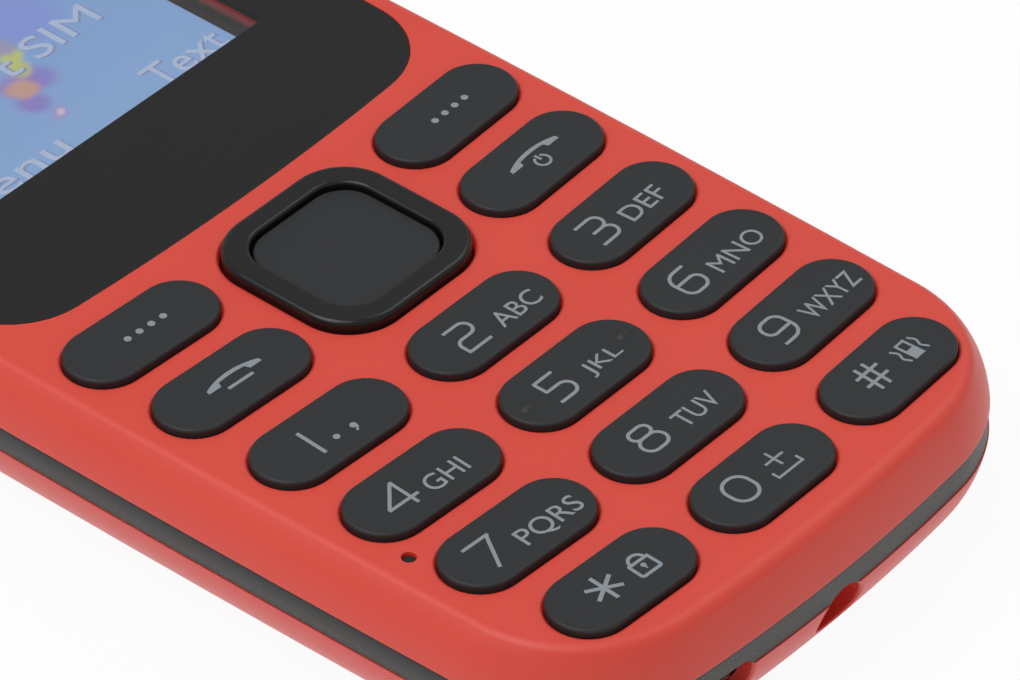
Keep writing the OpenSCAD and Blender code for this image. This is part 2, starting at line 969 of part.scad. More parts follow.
module vibrator_shaft() {
    color(METAL)
        on_vibrator_axis(vibrator_l / 2 + shaft_gap)
            cylinder(h = vibrator_l / 2 - shaft_gap + shaft_free, r = shaft_r);
}

// Weight pressed on the shaft, cut away above it
module vibrator_weight() {
    color(METAL)
        on_vibrator_axis(vibrator_l + weight_gap)
            difference() {
                cylinder(h = weight_l, r = weight_r);
                translate([-2 * shaft_r - weight_r, 0, weight_l / 2])
                    cube([2 * weight_r, 3 * weight_r, weight_l + over], center = true);
                translate([0, 0, -over])
                    cylinder(h = weight_l + 2 * over, r = shaft_r);
            }
}

// Charging socket under the board, open towards the bottom end
module charging_socket() {
    inner_w = socket_w - 2 * socket_wall;
    inner_h = socket_h - 2 * socket_wall;
    color(METAL)
        translate([socket_x, socket_y, board_z - socket_h / 2])
            difference() {
                translate([-socket_w / 2, 0, -socket_h / 2])
                    cube([socket_w, socket_l, socket_h]);
                translate([-inner_w / 2, -over, -inner_h / 2])
                    cube([inner_w, socket_l - socket_wall + over, inner_h]);
            }
}

// Contact tongue inside the charging socket
module charging_tongue() {
    tongue_w = socket_w / 2;
    tongue_t = socket_h / 4;
    color(BLACK)
        translate([socket_x - tongue_w / 2, socket_y + socket_l / 3, board_z - socket_h / 2])
            cube([tongue_w, socket_l * 2 / 3 - socket_wall, tongue_t]);
}

// Card holder on the board, open to the battery bay
module sim_holder() {
    slot = [sim_size[0] - 4 * sheet_t, sim_size[1] - 2 * sheet_t];
    color(METAL)
        translate([sim_spot[0], sim_spot[1], 0])
            difference() {
                slab(can_z, board_z)
                    square(sim_size, center = true);
                translate([0, -2 * sheet_t, 0])
                    slab(board_z - sheet_t - sim_slot_t, board_z - sheet_t)
                        square([slot[0], sim_size[1]], center = true);
                slab(can_z - over, board_z - sheet_t)
                    square([slot[0] - 2 * sim_rail, slot[1] - 2 * sim_rail], center = true);
            }
}

module battery() {
    color(CASE)
        translate([0, battery_y, 0])
            slab(battery_z, battery_z + battery_t)
                rounded(battery_w, battery_l, bay_r);
}

// Block on the board that carries the battery's contact blades
module battery_connector() {
    color(BLACK)
        translate([contact_x, contact_y + contact_size[1] / 2, 0])
            slab(board_z - contact_h, board_z)
                square(contact_size, center = true);
}

// Spring blades that reach through the bay's wall to the battery
module battery_blades() {
    y0 = battery_y + battery_l / 2;
    z0 = board_z - contact_h + contact_gap;
    color(GOLD)
        for (i = [-1:1])
            translate([contact_x + i * blade_pitch - blade_w / 2, y0, z0])
                cube([blade_w, contact_y - y0, blade_h]);
}

// Stamped radiator on the floor of the bottom chamber, with a leg up to the board
module antenna() {
    color(GOLD)
        translate([0, antenna_y, 0]) {
            slab(chamber_z, chamber_z + sheet_t)
                square(antenna_size, center = true);
            translate([antenna_size[0] / 2 - antenna_leg[0], 0, 0])
                slab(chamber_z, board_z)
                    square([sheet_t, antenna_leg[1]], center = true);
        }
}

// The opening for the charging plug, which also clears the socket
module port_cut(z0, z1) {
    w = socket_w + 2 * port_gap;
    translate([socket_x, bottom_y - over, 0])
        rotate([90, 0, 180])
            translate([0, 0, -over])
                linear_extrude(socket_l + 2 * over + socket_front + port_depth) {
                    translate([-w / 2, z0])
                        square([w, z1 - z0 - port_r]);
                    translate([-w / 2 + port_r, z0])
                        square([w - 2 * port_r, z1 - z0]);
                    for (side = [-1, 1])
                        translate([side * (w / 2 - port_r), z1 - port_r])
                            circle(port_r);
                }
}

// A round bar along Y at the nail notch, running in from the bottom end by a depth
module nail_bar(r, depth) {
    translate([nail_x, bottom_y - over, nail_z])
        rotate([-90, 0, 0])
            cylinder(h = depth + over, r = r);
}

// Outer form of the rear housing: the dark band, the body inside the cover and the tongue
module rear_form() {
    slab(band_z, band_top_z)
        polygon(body_ring(0));
    loft(cover_rings(cover_t + cover_gap, rear_z));
    slab(band_top_z - band_h / 2, band_top_z + tongue_h)
        polygon(body_ring(lip_in));
}

// Room above the bay's floor and in the chambers at both ends of the battery bay
module rear_rooms() {
    slab(floor_top_z, band_top_z + tongue_h + over)
        polygon(body_ring(cavity_inset));
    slab(chamber_z, floor_top_z + over)
        intersection() {
            polygon(body_ring(chamber_inset));
            union() {
                translate([-body_w / 2, bay_top_y + bay_wall])
                    square([body_w, body_l]);
                translate([-body_w / 2, bay_bottom_y - bay_wall - body_l])
                    square([body_w, body_l]);
            }
        }
}

// Dark chassis: carries the board, holds the battery and shows as the band
module rear_housing() {
    bay_w = battery_w + 2 * bay_gap;
    bay_l = battery_l + 2 * bay_gap;
    color(BAND_GREY)
        difference() {
            union() {
                difference() {
                    rear_form();
                    rear_rooms();
                }
                intersection() {
                    at_screws()
                        slab(rear_z, board_z)
                            circle(rear_boss_r);
                    rear_form();
                }
            }
            translate([0, battery_y, 0])
                slab(-over, floor_z)
                    rounded(bay_w, bay_l, bay_r);
            at_screws() {
                slab(-over, board_z + over)
                    circle(screw_r + shank_gap);
                slab(-over, screw_seat_z)
                    circle(screw_head_r + head_gap);
            }
            translate([sim_spot[0], sim_spot[1], 0])
                slab(floor_z - over, floor_top_z + over)
                    square([sim_size[0] - 2 * sim_rim, sim_size[1] - 2 * sim_rim], center = true);
            translate([contact_x, bay_top_y + bay_wall / 2, 0])
                slab(board_z - contact_h - contact_gap, floor_z)
                    square([contact_size[0], 2 * bay_wall + over], center = true);
            port_cut(board_z - socket_h - port_gap, board_z + port_gap);
            nail_bar(nail_r, nail_depth);
            translate([nail_x, bottom_y, 0])
                slab(-over, band_z)
                    square([2 * (nail_r + nail_wall + nail_room),
                        2 * (nail_depth + nail_wall + nail_room)], center = true);
            at_speaker()
                slab(rear_z - over, chamber_z + over)
                    speaker_slots_2d();
        }
}

// Six identical screws from the back
module housing_screws() {
    color(METAL)
        at_screws() {
            slab(screw_seat_z - screw_head_t, screw_seat_z)
                circle(screw_head_r);
            slab(screw_seat_z - screw_head_t / 2, board_top_z + screw_bite)
                circle(screw_r);
        }
}

// Red back cover with the blind nail scoop, the charging opening and the speaker slots
module back_cover() {
    scoop = nail_depth + nail_wall;
    color(DARK_RED)
        difference() {
            union() {
                difference() {
                    loft(cover_rings(0, 0));
                    loft(concat(
                        cover_rings(cover_t, cover_t),
                        [[cover_inset - (cover_r - cover_t) * cos(cover_lean), band_z + over]]));
                }
                intersection() {
                    nail_bar(nail_r + nail_wall, scoop);
                    loft(cover_rings(cover_t / 2, cover_t / 2));
                }
            }
            nail_bar(nail_r, nail_depth);
            port_cut(board_z - socket_h - port_gap, board_z + port_gap);
            at_speaker()
                slab(-over, cover_t + over)
                    speaker_slots_2d();
        }
}

front_housing();
display_lens();
lens_adhesive();
display_panel();
display_gasket();
display_frame();
display_flex();
earpiece_mesh();
earpiece_gasket();
earpiece_speaker();
for (key = KEYS) keycap(key);
nav_ring();
nav_pad();
ok_key();
keypad_web();
dome_film();
key_domes();
keypad_leds();
main_board();
board_chips();
shield_can_radio();
shield_can_base();
microphone();
microphone_boot();
loudspeaker();
vibrator_can();
vibrator_shaft();
vibrator_weight();
charging_socket();
charging_tongue();
sim_holder();
battery();
battery_connector();
battery_blades();
antenna();
rear_housing();
housing_screws();
back_cover();
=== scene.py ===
# %% [markdown]
# # A feature phone, dressed for its picture
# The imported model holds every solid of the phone, in metres, with the flat back on Z = 0, the earpiece
# towards +Y and the keys facing +Z. Its shells have plain facets and its keys have plain edges, so this
# lesson models the pieces that show again, with soft edges, prints and finishes, and leaves the solids
# underneath as they are. The box of the solids is kept, because the dressed phone has to stay inside it.

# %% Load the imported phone
import json
import math

import bmesh
import bpy
from mathutils import Matrix, Vector


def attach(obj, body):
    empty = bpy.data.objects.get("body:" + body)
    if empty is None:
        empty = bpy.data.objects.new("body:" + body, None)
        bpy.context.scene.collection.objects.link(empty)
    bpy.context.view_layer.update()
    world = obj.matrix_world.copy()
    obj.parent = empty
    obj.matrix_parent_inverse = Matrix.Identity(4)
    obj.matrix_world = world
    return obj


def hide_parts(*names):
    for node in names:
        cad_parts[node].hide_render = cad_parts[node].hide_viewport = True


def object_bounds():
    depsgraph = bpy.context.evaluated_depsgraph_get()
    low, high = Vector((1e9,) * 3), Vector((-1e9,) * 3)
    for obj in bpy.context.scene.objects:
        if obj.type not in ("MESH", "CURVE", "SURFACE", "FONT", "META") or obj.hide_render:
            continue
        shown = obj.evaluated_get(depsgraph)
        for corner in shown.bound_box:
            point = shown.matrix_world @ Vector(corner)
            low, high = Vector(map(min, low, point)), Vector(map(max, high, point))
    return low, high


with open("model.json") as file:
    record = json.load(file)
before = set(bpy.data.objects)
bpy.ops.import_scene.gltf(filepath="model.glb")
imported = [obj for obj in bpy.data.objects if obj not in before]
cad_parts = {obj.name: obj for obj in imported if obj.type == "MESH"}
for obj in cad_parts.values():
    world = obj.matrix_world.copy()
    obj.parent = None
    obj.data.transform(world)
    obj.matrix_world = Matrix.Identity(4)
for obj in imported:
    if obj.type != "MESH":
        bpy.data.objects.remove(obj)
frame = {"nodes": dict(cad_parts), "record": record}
cad_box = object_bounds()
MM = 0.001
cad_mm = [[round(c / MM, 2) for c in corner] for corner in cad_box]
print("solids:", len(frame["nodes"]), "box in mm:", cad_mm)

# %% [markdown]
# ## The camera
# The picture was taken with a long lens from the phone's lower left. Twenty key corners were enough to work
# out where the lens stood, so the camera is set from its place, the way it looks and its roll.

# %% Camera
EYE = Vector((-0.262800, -0.260605, 0.306705))
AHEAD = Vector((0.575252, 0.507634, -0.641399))
RIGHT = Vector((0.654511, -0.755968, -0.011298))
SENSOR_MM = 36.0
FOCAL_IN_WIDTHS = 6.87354

camera_data = bpy.data.cameras.new("camera")
camera_data.sensor_width = SENSOR_MM
camera_data.lens = SENSOR_MM * FOCAL_IN_WIDTHS
camera_data.clip_start = 0.01
camera = bpy.data.objects.new("camera", camera_data)
bpy.context.scene.collection.objects.link(camera)
up = RIGHT.cross(AHEAD)
camera.matrix_world = Matrix.Translation(EYE) @ Matrix((RIGHT, up, -AHEAD)).transposed().to_4x4()
bpy.context.scene.camera = camera
bpy.context.scene.view_settings.view_transform = "Standard"
print("lens in mm:", round(camera_data.lens, 1))

# %% [markdown]
# ## Writing shader sums in Python
# A finish is a tree of nodes, and a tree is hard to read as a list of links. The Wire below stands for one
# output of a node, so a sum such as `mask * 0.3 + 0.1` adds its own Math nodes. Every other node goes through
# Finish.node, which takes the node's type, its settings and what its sockets get.


# %% Shader helpers
class Wire:
    """An output of a shader node, which can be used in sums."""

    def __init__(self, finish, socket):
        self.finish = finish
        self.socket = socket

    def __add__(self, other):
        return self.finish.sum("ADD", self, other)

    def __sub__(self, other):
        return self.finish.sum("SUBTRACT", self, other)

    def __mul__(self, other):
        return self.finish.sum("MULTIPLY", self, other)

    def __gt__(self, other):
        return self.finish.sum("GREATER_THAN", self, other)

    def __lt__(self, other):
        return self.finish.sum("LESS_THAN", self, other)


class Finish:
    """A material that is built up around one Principled shader."""

    def __init__(self, name, **constants):
        self.material = bpy.data.materials.new(name)
        self.material.use_nodes = True
        self.tree = self.material.node_tree
        self.shader = self.tree.nodes["Principled BSDF"]
        self.place = self.node("TexCoord", output="Object")
        self.set(**constants)

    def set(self, **sockets):
        for name, value in sockets.items():
            self.feed(self.shader.inputs[name.replace("_", " ")], value)

    def feed(self, socket, value):
        if isinstance(value, Wire):
            self.tree.links.new(value.socket, socket)
        else:
            socket.default_value = value

    def node(self, kind, settings=None, output=0, **sockets):
        made = self.tree.nodes.new("ShaderNode" + kind)
        for key, value in (settings or {}).items():
            setattr(made, key, value)
        for key, value in sockets.items():
            self.feed(made.inputs[int(key[1:]) if key[1:].isdigit() else key.replace("_", " ")], value)
        return Wire(self, made.outputs[output])

    def sum(self, operation, first, second):
        return self.node("Math", {"operation": operation}, i0=first, i1=second)

    def mix(self, factor, first, second):
        """A colour between two colours."""
        settings = {"data_type": "RGBA"}
        return self.node("Mix", settings, output=2, i0=factor, i6=first, i7=second)

    def noise(self, scale, detail=2.0, roughness=0.5, where=None):
        """Noise whose grains are about scale to the metre."""
        where = where or self.place
        return self.node("TexNoise", Vector=where, Scale=scale, Detail=detail, Roughness=roughness)

    def axis(self, name, where=None):
        """The X, Y or Z of a place or a direction."""
        return self.node("SeparateXYZ", output=name, Vector=where or self.place)

    def size(self, value):
        """A value without its sign."""
        return self.sum("ABSOLUTE", value, 0.0)

    def ramp(self, value, low, high):
        """Goes from 0 to 1 as a value goes from low to high."""
        return self.node("MapRange", Value=value, From_Min=low, From_Max=high)

    def clouded(self, scale, deep, light, detail=2.0):
        """Noise, with a base colour that goes from deep to light with it."""
        clouds = self.noise(scale, detail)
        self.set(Base_Color=self.mix(clouds, deep, light))
        return clouds

    def tint(self, mask, colour):
        """Lays a colour over the base colour where a mask says so."""
        below = Wire(self, self.shader.inputs["Base Color"].links[0].from_socket)
        self.set(Base_Color=self.mix(mask, below, colour))

    def bump(self, height, depth):
        """Turns a height between 0 and 1 into a bump of a depth in metres."""
        self.set(Normal=self.node("Bump", Height=height, Distance=depth, Strength=1.0))


def rgba(red, green, blue):
    """A colour read off a screen, as the light that the shader works in."""
    parts = [c / 255 for c in (red, green, blue)]
    return (*(((c + 0.055) / 1.055) ** 2.4 if c > 0.04 else c / 12.92 for c in parts), 1.0)


BLACK, WHITE = (0.0, 0.0, 0.0, 1.0), (1.0, 1.0, 1.0, 1.0)


def paint(piece, finish):
    piece.data.materials.clear()
    piece.data.materials.append(finish.material)


print("shader helpers ready")

# %% [markdown]
# ## The floor and the light
# The phone lies on a white table that is as bright as the paper behind it. The floor is a white sheet that
# the camera sees as white, and that still takes a little of the phone's shadow and throws light back on its
# sides. The light is a wide soft box from the upper left and a weaker one from the right.

# %% Floor
FLOOR_SIZE = 6.0
FLOOR_GLOW = 0.94

bpy.ops.object.select_all(action="DESELECT")
bpy.ops.mesh.primitive_grid_add(x_subdivisions=4, y_subdivisions=4, size=FLOOR_SIZE, location=(0, 0, 0))
floor = bpy.context.object
floor.name = "floor"

white = Finish("white_table", Roughness=0.9, Base_Color=(0.86, 0.86, 0.86, 1.0))
light_path = white.node("LightPath", output="Is Camera Ray")
mirrored = white.node("LightPath", output="Is Glossy Ray")
refracted = white.node("LightPath", output="Is Transmission Ray")
seen = light_path + mirrored + refracted
glow = white.node("Emission", Color=WHITE, Strength=1.0)
below = white.node("NewGeometry", output="Backfacing")
lit = white.node("MixShader", i0=seen * FLOOR_GLOW, i1=Wire(white, white.shader.outputs[0]), i2=glow)
through = white.node("MixShader", i0=below, i1=lit, i2=white.node("BsdfTransparent"))
white.feed(white.tree.nodes["Material Output"].inputs["Surface"], through)
paint(floor, white)
print("floor:", FLOOR_SIZE, "m across")

# %% World and lamps
WORLD_FILL = 0.45
LAMP_AIM = (0, -0.01, 0.01)

world = bpy.data.worlds.new("studio")
bpy.context.scene.world = world
world.use_nodes = True
nodes, links = world.node_tree.nodes, world.node_tree.links
path = nodes.new("ShaderNodeLightPath")
strength = nodes.new("ShaderNodeMapRange")
strength.inputs["To Min"].default_value = WORLD_FILL
strength.inputs["To Max"].default_value = 1.0
links.new(path.outputs["Is Camera Ray"], strength.inputs["Value"])
links.new(strength.outputs["Result"], nodes["Background"].inputs["Strength"])
nodes["Background"].inputs["Color"].default_value = WHITE


def soft_box(name, place, size, power):
    """A square lamp that lights the phone and isn't seen itself."""
    data = bpy.data.lights.new(name, "AREA")
    data.shape = "SQUARE"
    data.size = size
    data.energy = power
    lamp = bpy.data.objects.new(name, data)
    bpy.context.scene.collection.objects.link(lamp)
    lamp.location = place
    lamp.rotation_mode = "QUATERNION"
    lamp.rotation_quaternion = (Vector(LAMP_AIM) - Vector(place)).to_track_quat("-Z", "Y")
    lamp.visible_camera = False
    return lamp


soft_box("upper_left_box", (-0.42, 0.12, 0.8), size=0.7, power=4.65)
soft_box("right_box", (0.55, -0.05, 0.75), size=0.5, power=1.2)

# %% [markdown]
# ## An outline pen
# Every piece of the phone starts as a flat outline of straight runs and arcs. The pen pulls one vertex along:
# an extrude draws a line and a spin draws an arc, exactly as in edit mode. Once the outline is closed and
# filled, the face is grown through a list of rings, each an inset from the outline and a height.

# %% Pen
MERGE = 2e-6
EDGE_ANGLE = math.radians(35)


def clear_selection():
    if bpy.context.mode != "OBJECT":
        bpy.ops.object.mode_set(mode="OBJECT")
    bpy.ops.object.select_all(action="DESELECT")


def make_active(piece):
    clear_selection()
    piece.select_set(True)
    bpy.context.view_layer.objects.active = piece


class Pen:
    """Draws an outline in edit mode. Places are in millimetres and turns in degrees, anticlockwise."""

    def __init__(self, name, x, y, z=0.0):
        clear_selection()
        bpy.ops.mesh.primitive_circle_add(vertices=3, radius=MM, location=(0, 0, 0))
        self.piece = bpy.context.object
        self.piece.name = name
        bpy.context.tool_settings.mesh_select_mode = (True, False, False)
        bpy.ops.object.mode_set(mode="EDIT")
        bpy.ops.mesh.select_all(action="SELECT")
        bpy.ops.mesh.merge(type="CENTER")
        bpy.ops.transform.translate(value=(x * MM, y * MM, z * MM))
        self.at = Vector((x, y))
        self.z = z

    def line(self, x, y):
        step = (Vector((x, y)) - self.at) * MM
        bpy.ops.mesh.extrude_region_move(TRANSFORM_OT_translate={"value": (step.x, step.y, 0)})
        self.at = Vector((x, y))
        return self

    def arc(self, x, y, turn, steps):
        centre = Vector((x, y))
        about = (x * MM, y * MM, self.z * MM)
        bpy.ops.mesh.spin(steps=steps, angle=-math.radians(turn), center=about, axis=(0, 0, 1))
        self.at = centre + Matrix.Rotation(math.radians(turn), 2) @ (self.at - centre)
        return self

    def close(self):
        """Fills the outline and turns its face upwards."""
        bpy.ops.mesh.select_all(action="SELECT")
        bpy.ops.mesh.remove_doubles(threshold=MERGE)
        bpy.ops.mesh.edge_face_add()
        bpy.ops.object.mode_set(mode="OBJECT")
        facing_down = self.piece.data.polygons[0].normal.z < 0
        bpy.ops.object.mode_set(mode="EDIT")
        bpy.ops.mesh.select_all(action="SELECT")
        if facing_down:
            bpy.ops.mesh.flip_normals()
        return self

    def grow(self, rings):
        """Raises or lowers the face through rings of (inset, height), from the outline on."""
        sense = 1 if rings[0][1] > self.z else -1
        if sense < 0:
            bpy.ops.mesh.flip_normals()
        self.open = rings[0][0] > 0
        last_inset, last_z = 0.0, self.z
        for inset, z in rings:
            if abs(inset - last_inset) < 1e-6:
                bpy.ops.mesh.extrude_region_move(TRANSFORM_OT_translate={"value": (0, 0, (z - last_z) * MM)})
            else:
                bpy.ops.mesh.inset(thickness=(inset - last_inset) * MM, depth=sense * (z - last_z) * MM)
            last_inset, last_z = inset, z
        return self

    def done(self):
        """Closes the base if it is open, turns all faces outwards and leaves edit mode."""
        if self.open:
            bpy.ops.mesh.select_all(action="DESELECT")
            bpy.ops.mesh.select_non_manifold()
            bpy.ops.mesh.edge_face_add()
        bpy.ops.mesh.select_all(action="SELECT")
        bpy.ops.mesh.normals_make_consistent(inside=False)
        bpy.ops.object.mode_set(mode="OBJECT")
        return self.piece


print("pen ready")


# %% Moving, joining and cutting pieces
def place(piece, x=0.0, y=0.0, z=0.0, turn=0.0, tip=0.0):
    """Moves a finished piece, and turns it or tips it over, with its place in its mesh."""
    make_active(piece)
    piece.location = (x * MM, y * MM, z * MM)
    piece.rotation_euler = (math.radians(tip), 0, math.radians(turn))
    bpy.ops.object.transform_apply(location=True, rotation=True, scale=True)
    return piece


def copy_of(piece, name):
    """A copy with its own mesh."""
    make_active(piece)
    bpy.ops.object.duplicate()
    made = bpy.context.object
    made.name = name
    return made


def join(name, pieces):
    make_active(pieces[0])
    for piece in pieces:
        piece.select_set(True)
    bpy.ops.object.join()
    pieces[0].name = name
    return pieces[0]


def combine(piece, tool, operation="DIFFERENCE"):
    """Cuts a tool out of a piece, or adds it or keeps what they share, and deletes the tool."""
    make_active(piece)
    bpy.ops.object.modifier_add(type="BOOLEAN")
    modifier = piece.modifiers[-1]
    modifier.operation = operation
    modifier.solver = "EXACT"
    modifier.object = tool
    bpy.ops.object.modifier_apply(modifier=modifier.name)
    bpy.data.objects.remove(tool)
    return piece


print("piece helpers ready")

# %% Outlines that the phone is made of
HALF_W, HALF_L = 24.45, 56.6
SIDE_R, END_R, CORNER_R = 1420.0, 141.0, 11.9
OVAL_STEPS = (6, 24, 8)


def disc(name, radius, z, steps=32):
    """A round outline."""
    return Pen(name, radius, 0, z).arc(0, 0, 360, steps).close()


def stadium(name, length, width, z, steps=20):
    """A bar with half-round ends."""
    run = (length - width) / 2
    pen = Pen(name, run, -width / 2, z)
    pen.arc(run, 0, 180, steps).line(-run, width / 2).arc(-run, 0, 180, steps)
    return pen.close()


def rounded(name, width, length, radius, z, steps=12):
    """A rectangle with round corners."""
    x, y = width / 2 - radius, length / 2 - radius
    pen = Pen(name, width / 2, -y, z)
    pen.line(width / 2, y).arc(x, y, 90, steps).line(-x, length / 2).arc(-x, y, 90, steps)
    pen.line(-width / 2, -y).arc(-x, -y, 90, steps).line(x, -length / 2).arc(x, -y, 90, steps)
    return pen.close()


def oval(name, half_w, half_l, side_r, end_r, corner_r, z):
    """An oval of bowed sides and ends with tangent corners."""
    side_c = Vector((half_w - side_r, 0))
    end_c = Vector((0, half_l - end_r))
    span = (side_c - end_c).length
    along = ((end_r - corner_r) ** 2 - (side_r - corner_r) ** 2 + span ** 2) / (2 * span)
    off = math.sqrt((end_r - corner_r) ** 2 - along ** 2)
    ahead = (side_c - end_c) / span
    corner = end_c + along * ahead + off * Vector((ahead.y, -ahead.x))
    side_a = math.degrees(math.atan2(corner.y - side_c.y, corner.x - side_c.x))
    end_a = math.degrees(math.atan2(corner.y - end_c.y, corner.x - end_c.x))
    pen = Pen(name, half_w, 0, z)
    for flip_x, flip_y in ((1, 1), (-1, 1), (-1, -1), (1, -1)):
        parts = list(zip((side_c, corner, end_c), (side_a, end_a - side_a, 90 - end_a), OVAL_STEPS))
        if flip_x * flip_y < 0:
            parts.reverse()
        for centre, turn, count in parts:
            pen.arc(flip_x * centre.x, flip_y * centre.y, turn, count)
    return pen.close()


def body_oval(name, inset, z):
    """The phone's outline at the band, drawn in by an even inset."""
    return oval(name, HALF_W - inset, HALF_L - inset, SIDE_R - inset, END_R - inset, CORNER_R - inset, z)


def prism(pen, top):
    """A filled outline raised to a height."""
    return pen.grow([(0, top)]).done()


print("outlines ready")

# %% [markdown]
# ## Picking edges and finishing a piece
# Moulded edges are never sharp: a small bevel catches the light and tells the eye how big a piece is. The
# edges to soften are found by where they are and by how their two faces meet. A finished piece is shaded
# smooth, with its normals weighted by area so that flat faces stay flat up to their soft edges.

# %% Edge and finish helpers
# How near an edge is to a height in mm, and how much the normals of upright and level faces point up.
NEAR, UPRIGHT, LEVEL = 0.004, 0.3, 0.95
BEVEL_STEPS = 2


def soften(piece, z, width):
    """Bevels the edges at a height where a level face meets an upright one."""
    make_active(piece)
    bpy.context.tool_settings.mesh_select_mode = (False, True, False)
    shape = bmesh.new()
    shape.from_mesh(piece.data)
    shape.select_mode = {"EDGE"}
    count = 0
    for part in (*shape.verts, *shape.faces, *shape.edges):
        part.select = False
    for edge in shape.edges:
        if len(edge.link_faces) == 2:
            height = (edge.verts[0].co.z + edge.verts[1].co.z) / 2 / MM
            low, high = sorted(abs(face.normal.z) for face in edge.link_faces)
            picked = abs(height - z) < NEAR and low < UPRIGHT and high > LEVEL
            edge.select_set(picked)
            count += picked
    shape.to_mesh(piece.data)
    shape.free()
    bpy.ops.object.mode_set(mode="EDIT")
    bpy.ops.mesh.bevel(offset=width * MM, segments=BEVEL_STEPS, affect="EDGES", clamp_overlap=True)
    bpy.ops.object.mode_set(mode="OBJECT")
    return count


def wear(piece, finish, body, slot, *nodes):
    """Shades a piece, paints it, hangs it on its body's empty and hides the solids that it stands for."""
    make_active(piece)
    piece.data.name = piece.name
    bpy.ops.object.shade_smooth_by_angle(angle=EDGE_ANGLE)
    bpy.ops.object.modifier_add(type="WEIGHTED_NORMAL")
    piece.modifiers[-1].keep_sharp = True
    bpy.ops.object.modifier_apply(modifier=piece.modifiers[-1].name)
    paint(piece, finish)
    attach(piece, body)
    if nodes:
        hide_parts(*nodes)
    return piece


print("edge helpers ready")

# %% [markdown]
# ## Red plastic
# The front shell has a soft satin coat: an even red, with very faint clouds where the coat is thicker and a
# grain of a tenth of a millimetre that breaks up its shine. The back cover is the same red without the coat,
# a little deeper, and its spark-worn grain is coarser, as it shows at a flat angle near the table.

# %% Red finishes
GRAIN, CLOUD, SPECKLE, SPECKLE_DEPTH = 9000.0, 60.0, 6500.0, 0.05
GRAIN_SHINE, CLOUD_SHINE = 0.12, 0.06


def moulded(name, deep, light, roughness, grain_scale, grain_depth, **constants):
    """A moulded plastic with faint clouds, a fine grain and a shine that varies a little."""
    finish = Finish(name, **constants)
    clouds = finish.clouded(CLOUD, deep, light, detail=3.0)
    grain = finish.noise(grain_scale, detail=3.0, roughness=0.6)
    even = roughness - (GRAIN_SHINE + CLOUD_SHINE) / 2
    finish.set(Roughness=grain * GRAIN_SHINE + clouds * CLOUD_SHINE + even)
    finish.bump(grain, grain_depth)
    return finish


def add_speckle(finish):
    """Light and dark grains, as spark-worn moulds leave them."""
    grains = finish.noise(SPECKLE, detail=1.0)
    finish.tint(finish.ramp(grains, 0.5, 0.3) * SPECKLE_DEPTH, BLACK)
    finish.tint(finish.ramp(grains, 0.55, 0.75) * SPECKLE_DEPTH, WHITE)


red_coat = moulded("red_coat", rgba(213, 65, 51), rgba(219, 71, 56), 0.42, GRAIN, 0.00002)
red_grain = moulded("red_grain", rgba(219, 56, 44), rgba(227, 62, 50), 0.36, SPECKLE, 0.00005)
add_speckle(red_grain)
print("red finishes:", red_coat.material.name, red_grain.material.name)

# %% [markdown]
# ## Front shell
# The shell is one moulding: a wall that bows in, a soft edge, and the flat face with the holes for the keys,
# the rocker, the microphone and the lens. The wall is grown ring by ring from the outline with the section of
# the sides. At the two ends the wall is steeper and its edge rounder, so the rings are moved there, little by
# little round the corners. The holes are cut with solids whose tops flare, which leaves round rims.

# %% Front shell's body
FACE_Z, PLATE_Z, BAND_TOP_Z, BAND_Z = 13.5, 12.0, 9.4, 7.4
CAVITY_LEAN, WALL_T, PARTING = 1.2, 1.2, 0.06
# A cutter reaches past what it cuts, and solids that are joined lap into each other.
PAST, LAP = 1.0, 0.5
WALL_Z = BAND_TOP_Z + PARTING
# A wall's lean at its foot and at its top, and the radius of its edge.
SIDE_WALL = (math.radians(3), math.radians(44), 0.9)
END_WALL = (math.radians(8), math.radians(25), 1.28)
CORNER_X, CORNER_Y, CORNER_OUT = 12.4, 44.5, 0.25
WALL_STEPS, EDGE_STEPS = 14, 8


def arc_points(x, z, radius, start, stop, steps):
    """Points of an arc in a section, as insets and heights. Its angle is 0 outwards and 90 degrees up."""
    turns = [start + (stop - start) * step / steps for step in range(steps + 1)]
    return [(x - radius * math.cos(turn), z + radius * math.sin(turn)) for turn in turns]


def wall_section(foot, top, radius):
    """A wall's section: a bow from the lean at its foot to the lean at its top, then a round edge."""
    bow = (FACE_Z - WALL_Z - radius * (1 - math.sin(top))) / (math.sin(top) - math.sin(foot))
    wall = arc_points(bow * math.cos(foot), WALL_Z - bow * math.sin(foot), bow, foot, top, WALL_STEPS)
    edge_x = wall[-1][0] + radius * math.cos(top)
    return wall + arc_points(edge_x, FACE_Z - radius, radius, top, math.pi / 2, EDGE_STEPS)[1:]


sides = wall_section(*SIDE_WALL)
ends = wall_section(*END_WALL)
front_shell = body_oval("front_shell", 0, WALL_Z).grow(sides[1:]).done()
print("face in mm from the outline: sides", round(sides[-1][0], 2), "ends", round(ends[-1][0], 2))

# %% Front shell's walls at the ends
shape = bmesh.new()
shape.from_mesh(front_shell.data)
base = [vertex.co.xy for vertex in shape.verts if vertex.co.z < (WALL_Z + NEAR) * MM]
for vertex in shape.verts:
    spot = vertex.co.xy
    root = min(base, key=lambda corner: (corner - spot).length)
    ring = min(range(len(sides)), key=lambda index: abs(sides[index][1] * MM - vertex.co.z))
    beyond_x = max(abs(root.x) / MM - CORNER_X, 0.0)
    turn = math.atan2(max(abs(root.y) / MM - CORNER_Y, 0.0), beyond_x)
    if ring > 0 and turn > 0:
        share = turn / (math.pi / 2)
        inset = sides[ring][0] + share * (ends[ring][0] - sides[ring][0])
        inset -= CORNER_OUT * math.sin(2 * turn) * sides[ring][0] / sides[-1][0]
        vertex.co.xy = root + (spot - root) * inset / sides[ring][0]
        vertex.co.z = (sides[ring][1] + share * (ends[ring][1] - sides[ring][1])) * MM
shape.to_mesh(front_shell.data)
shape.free()
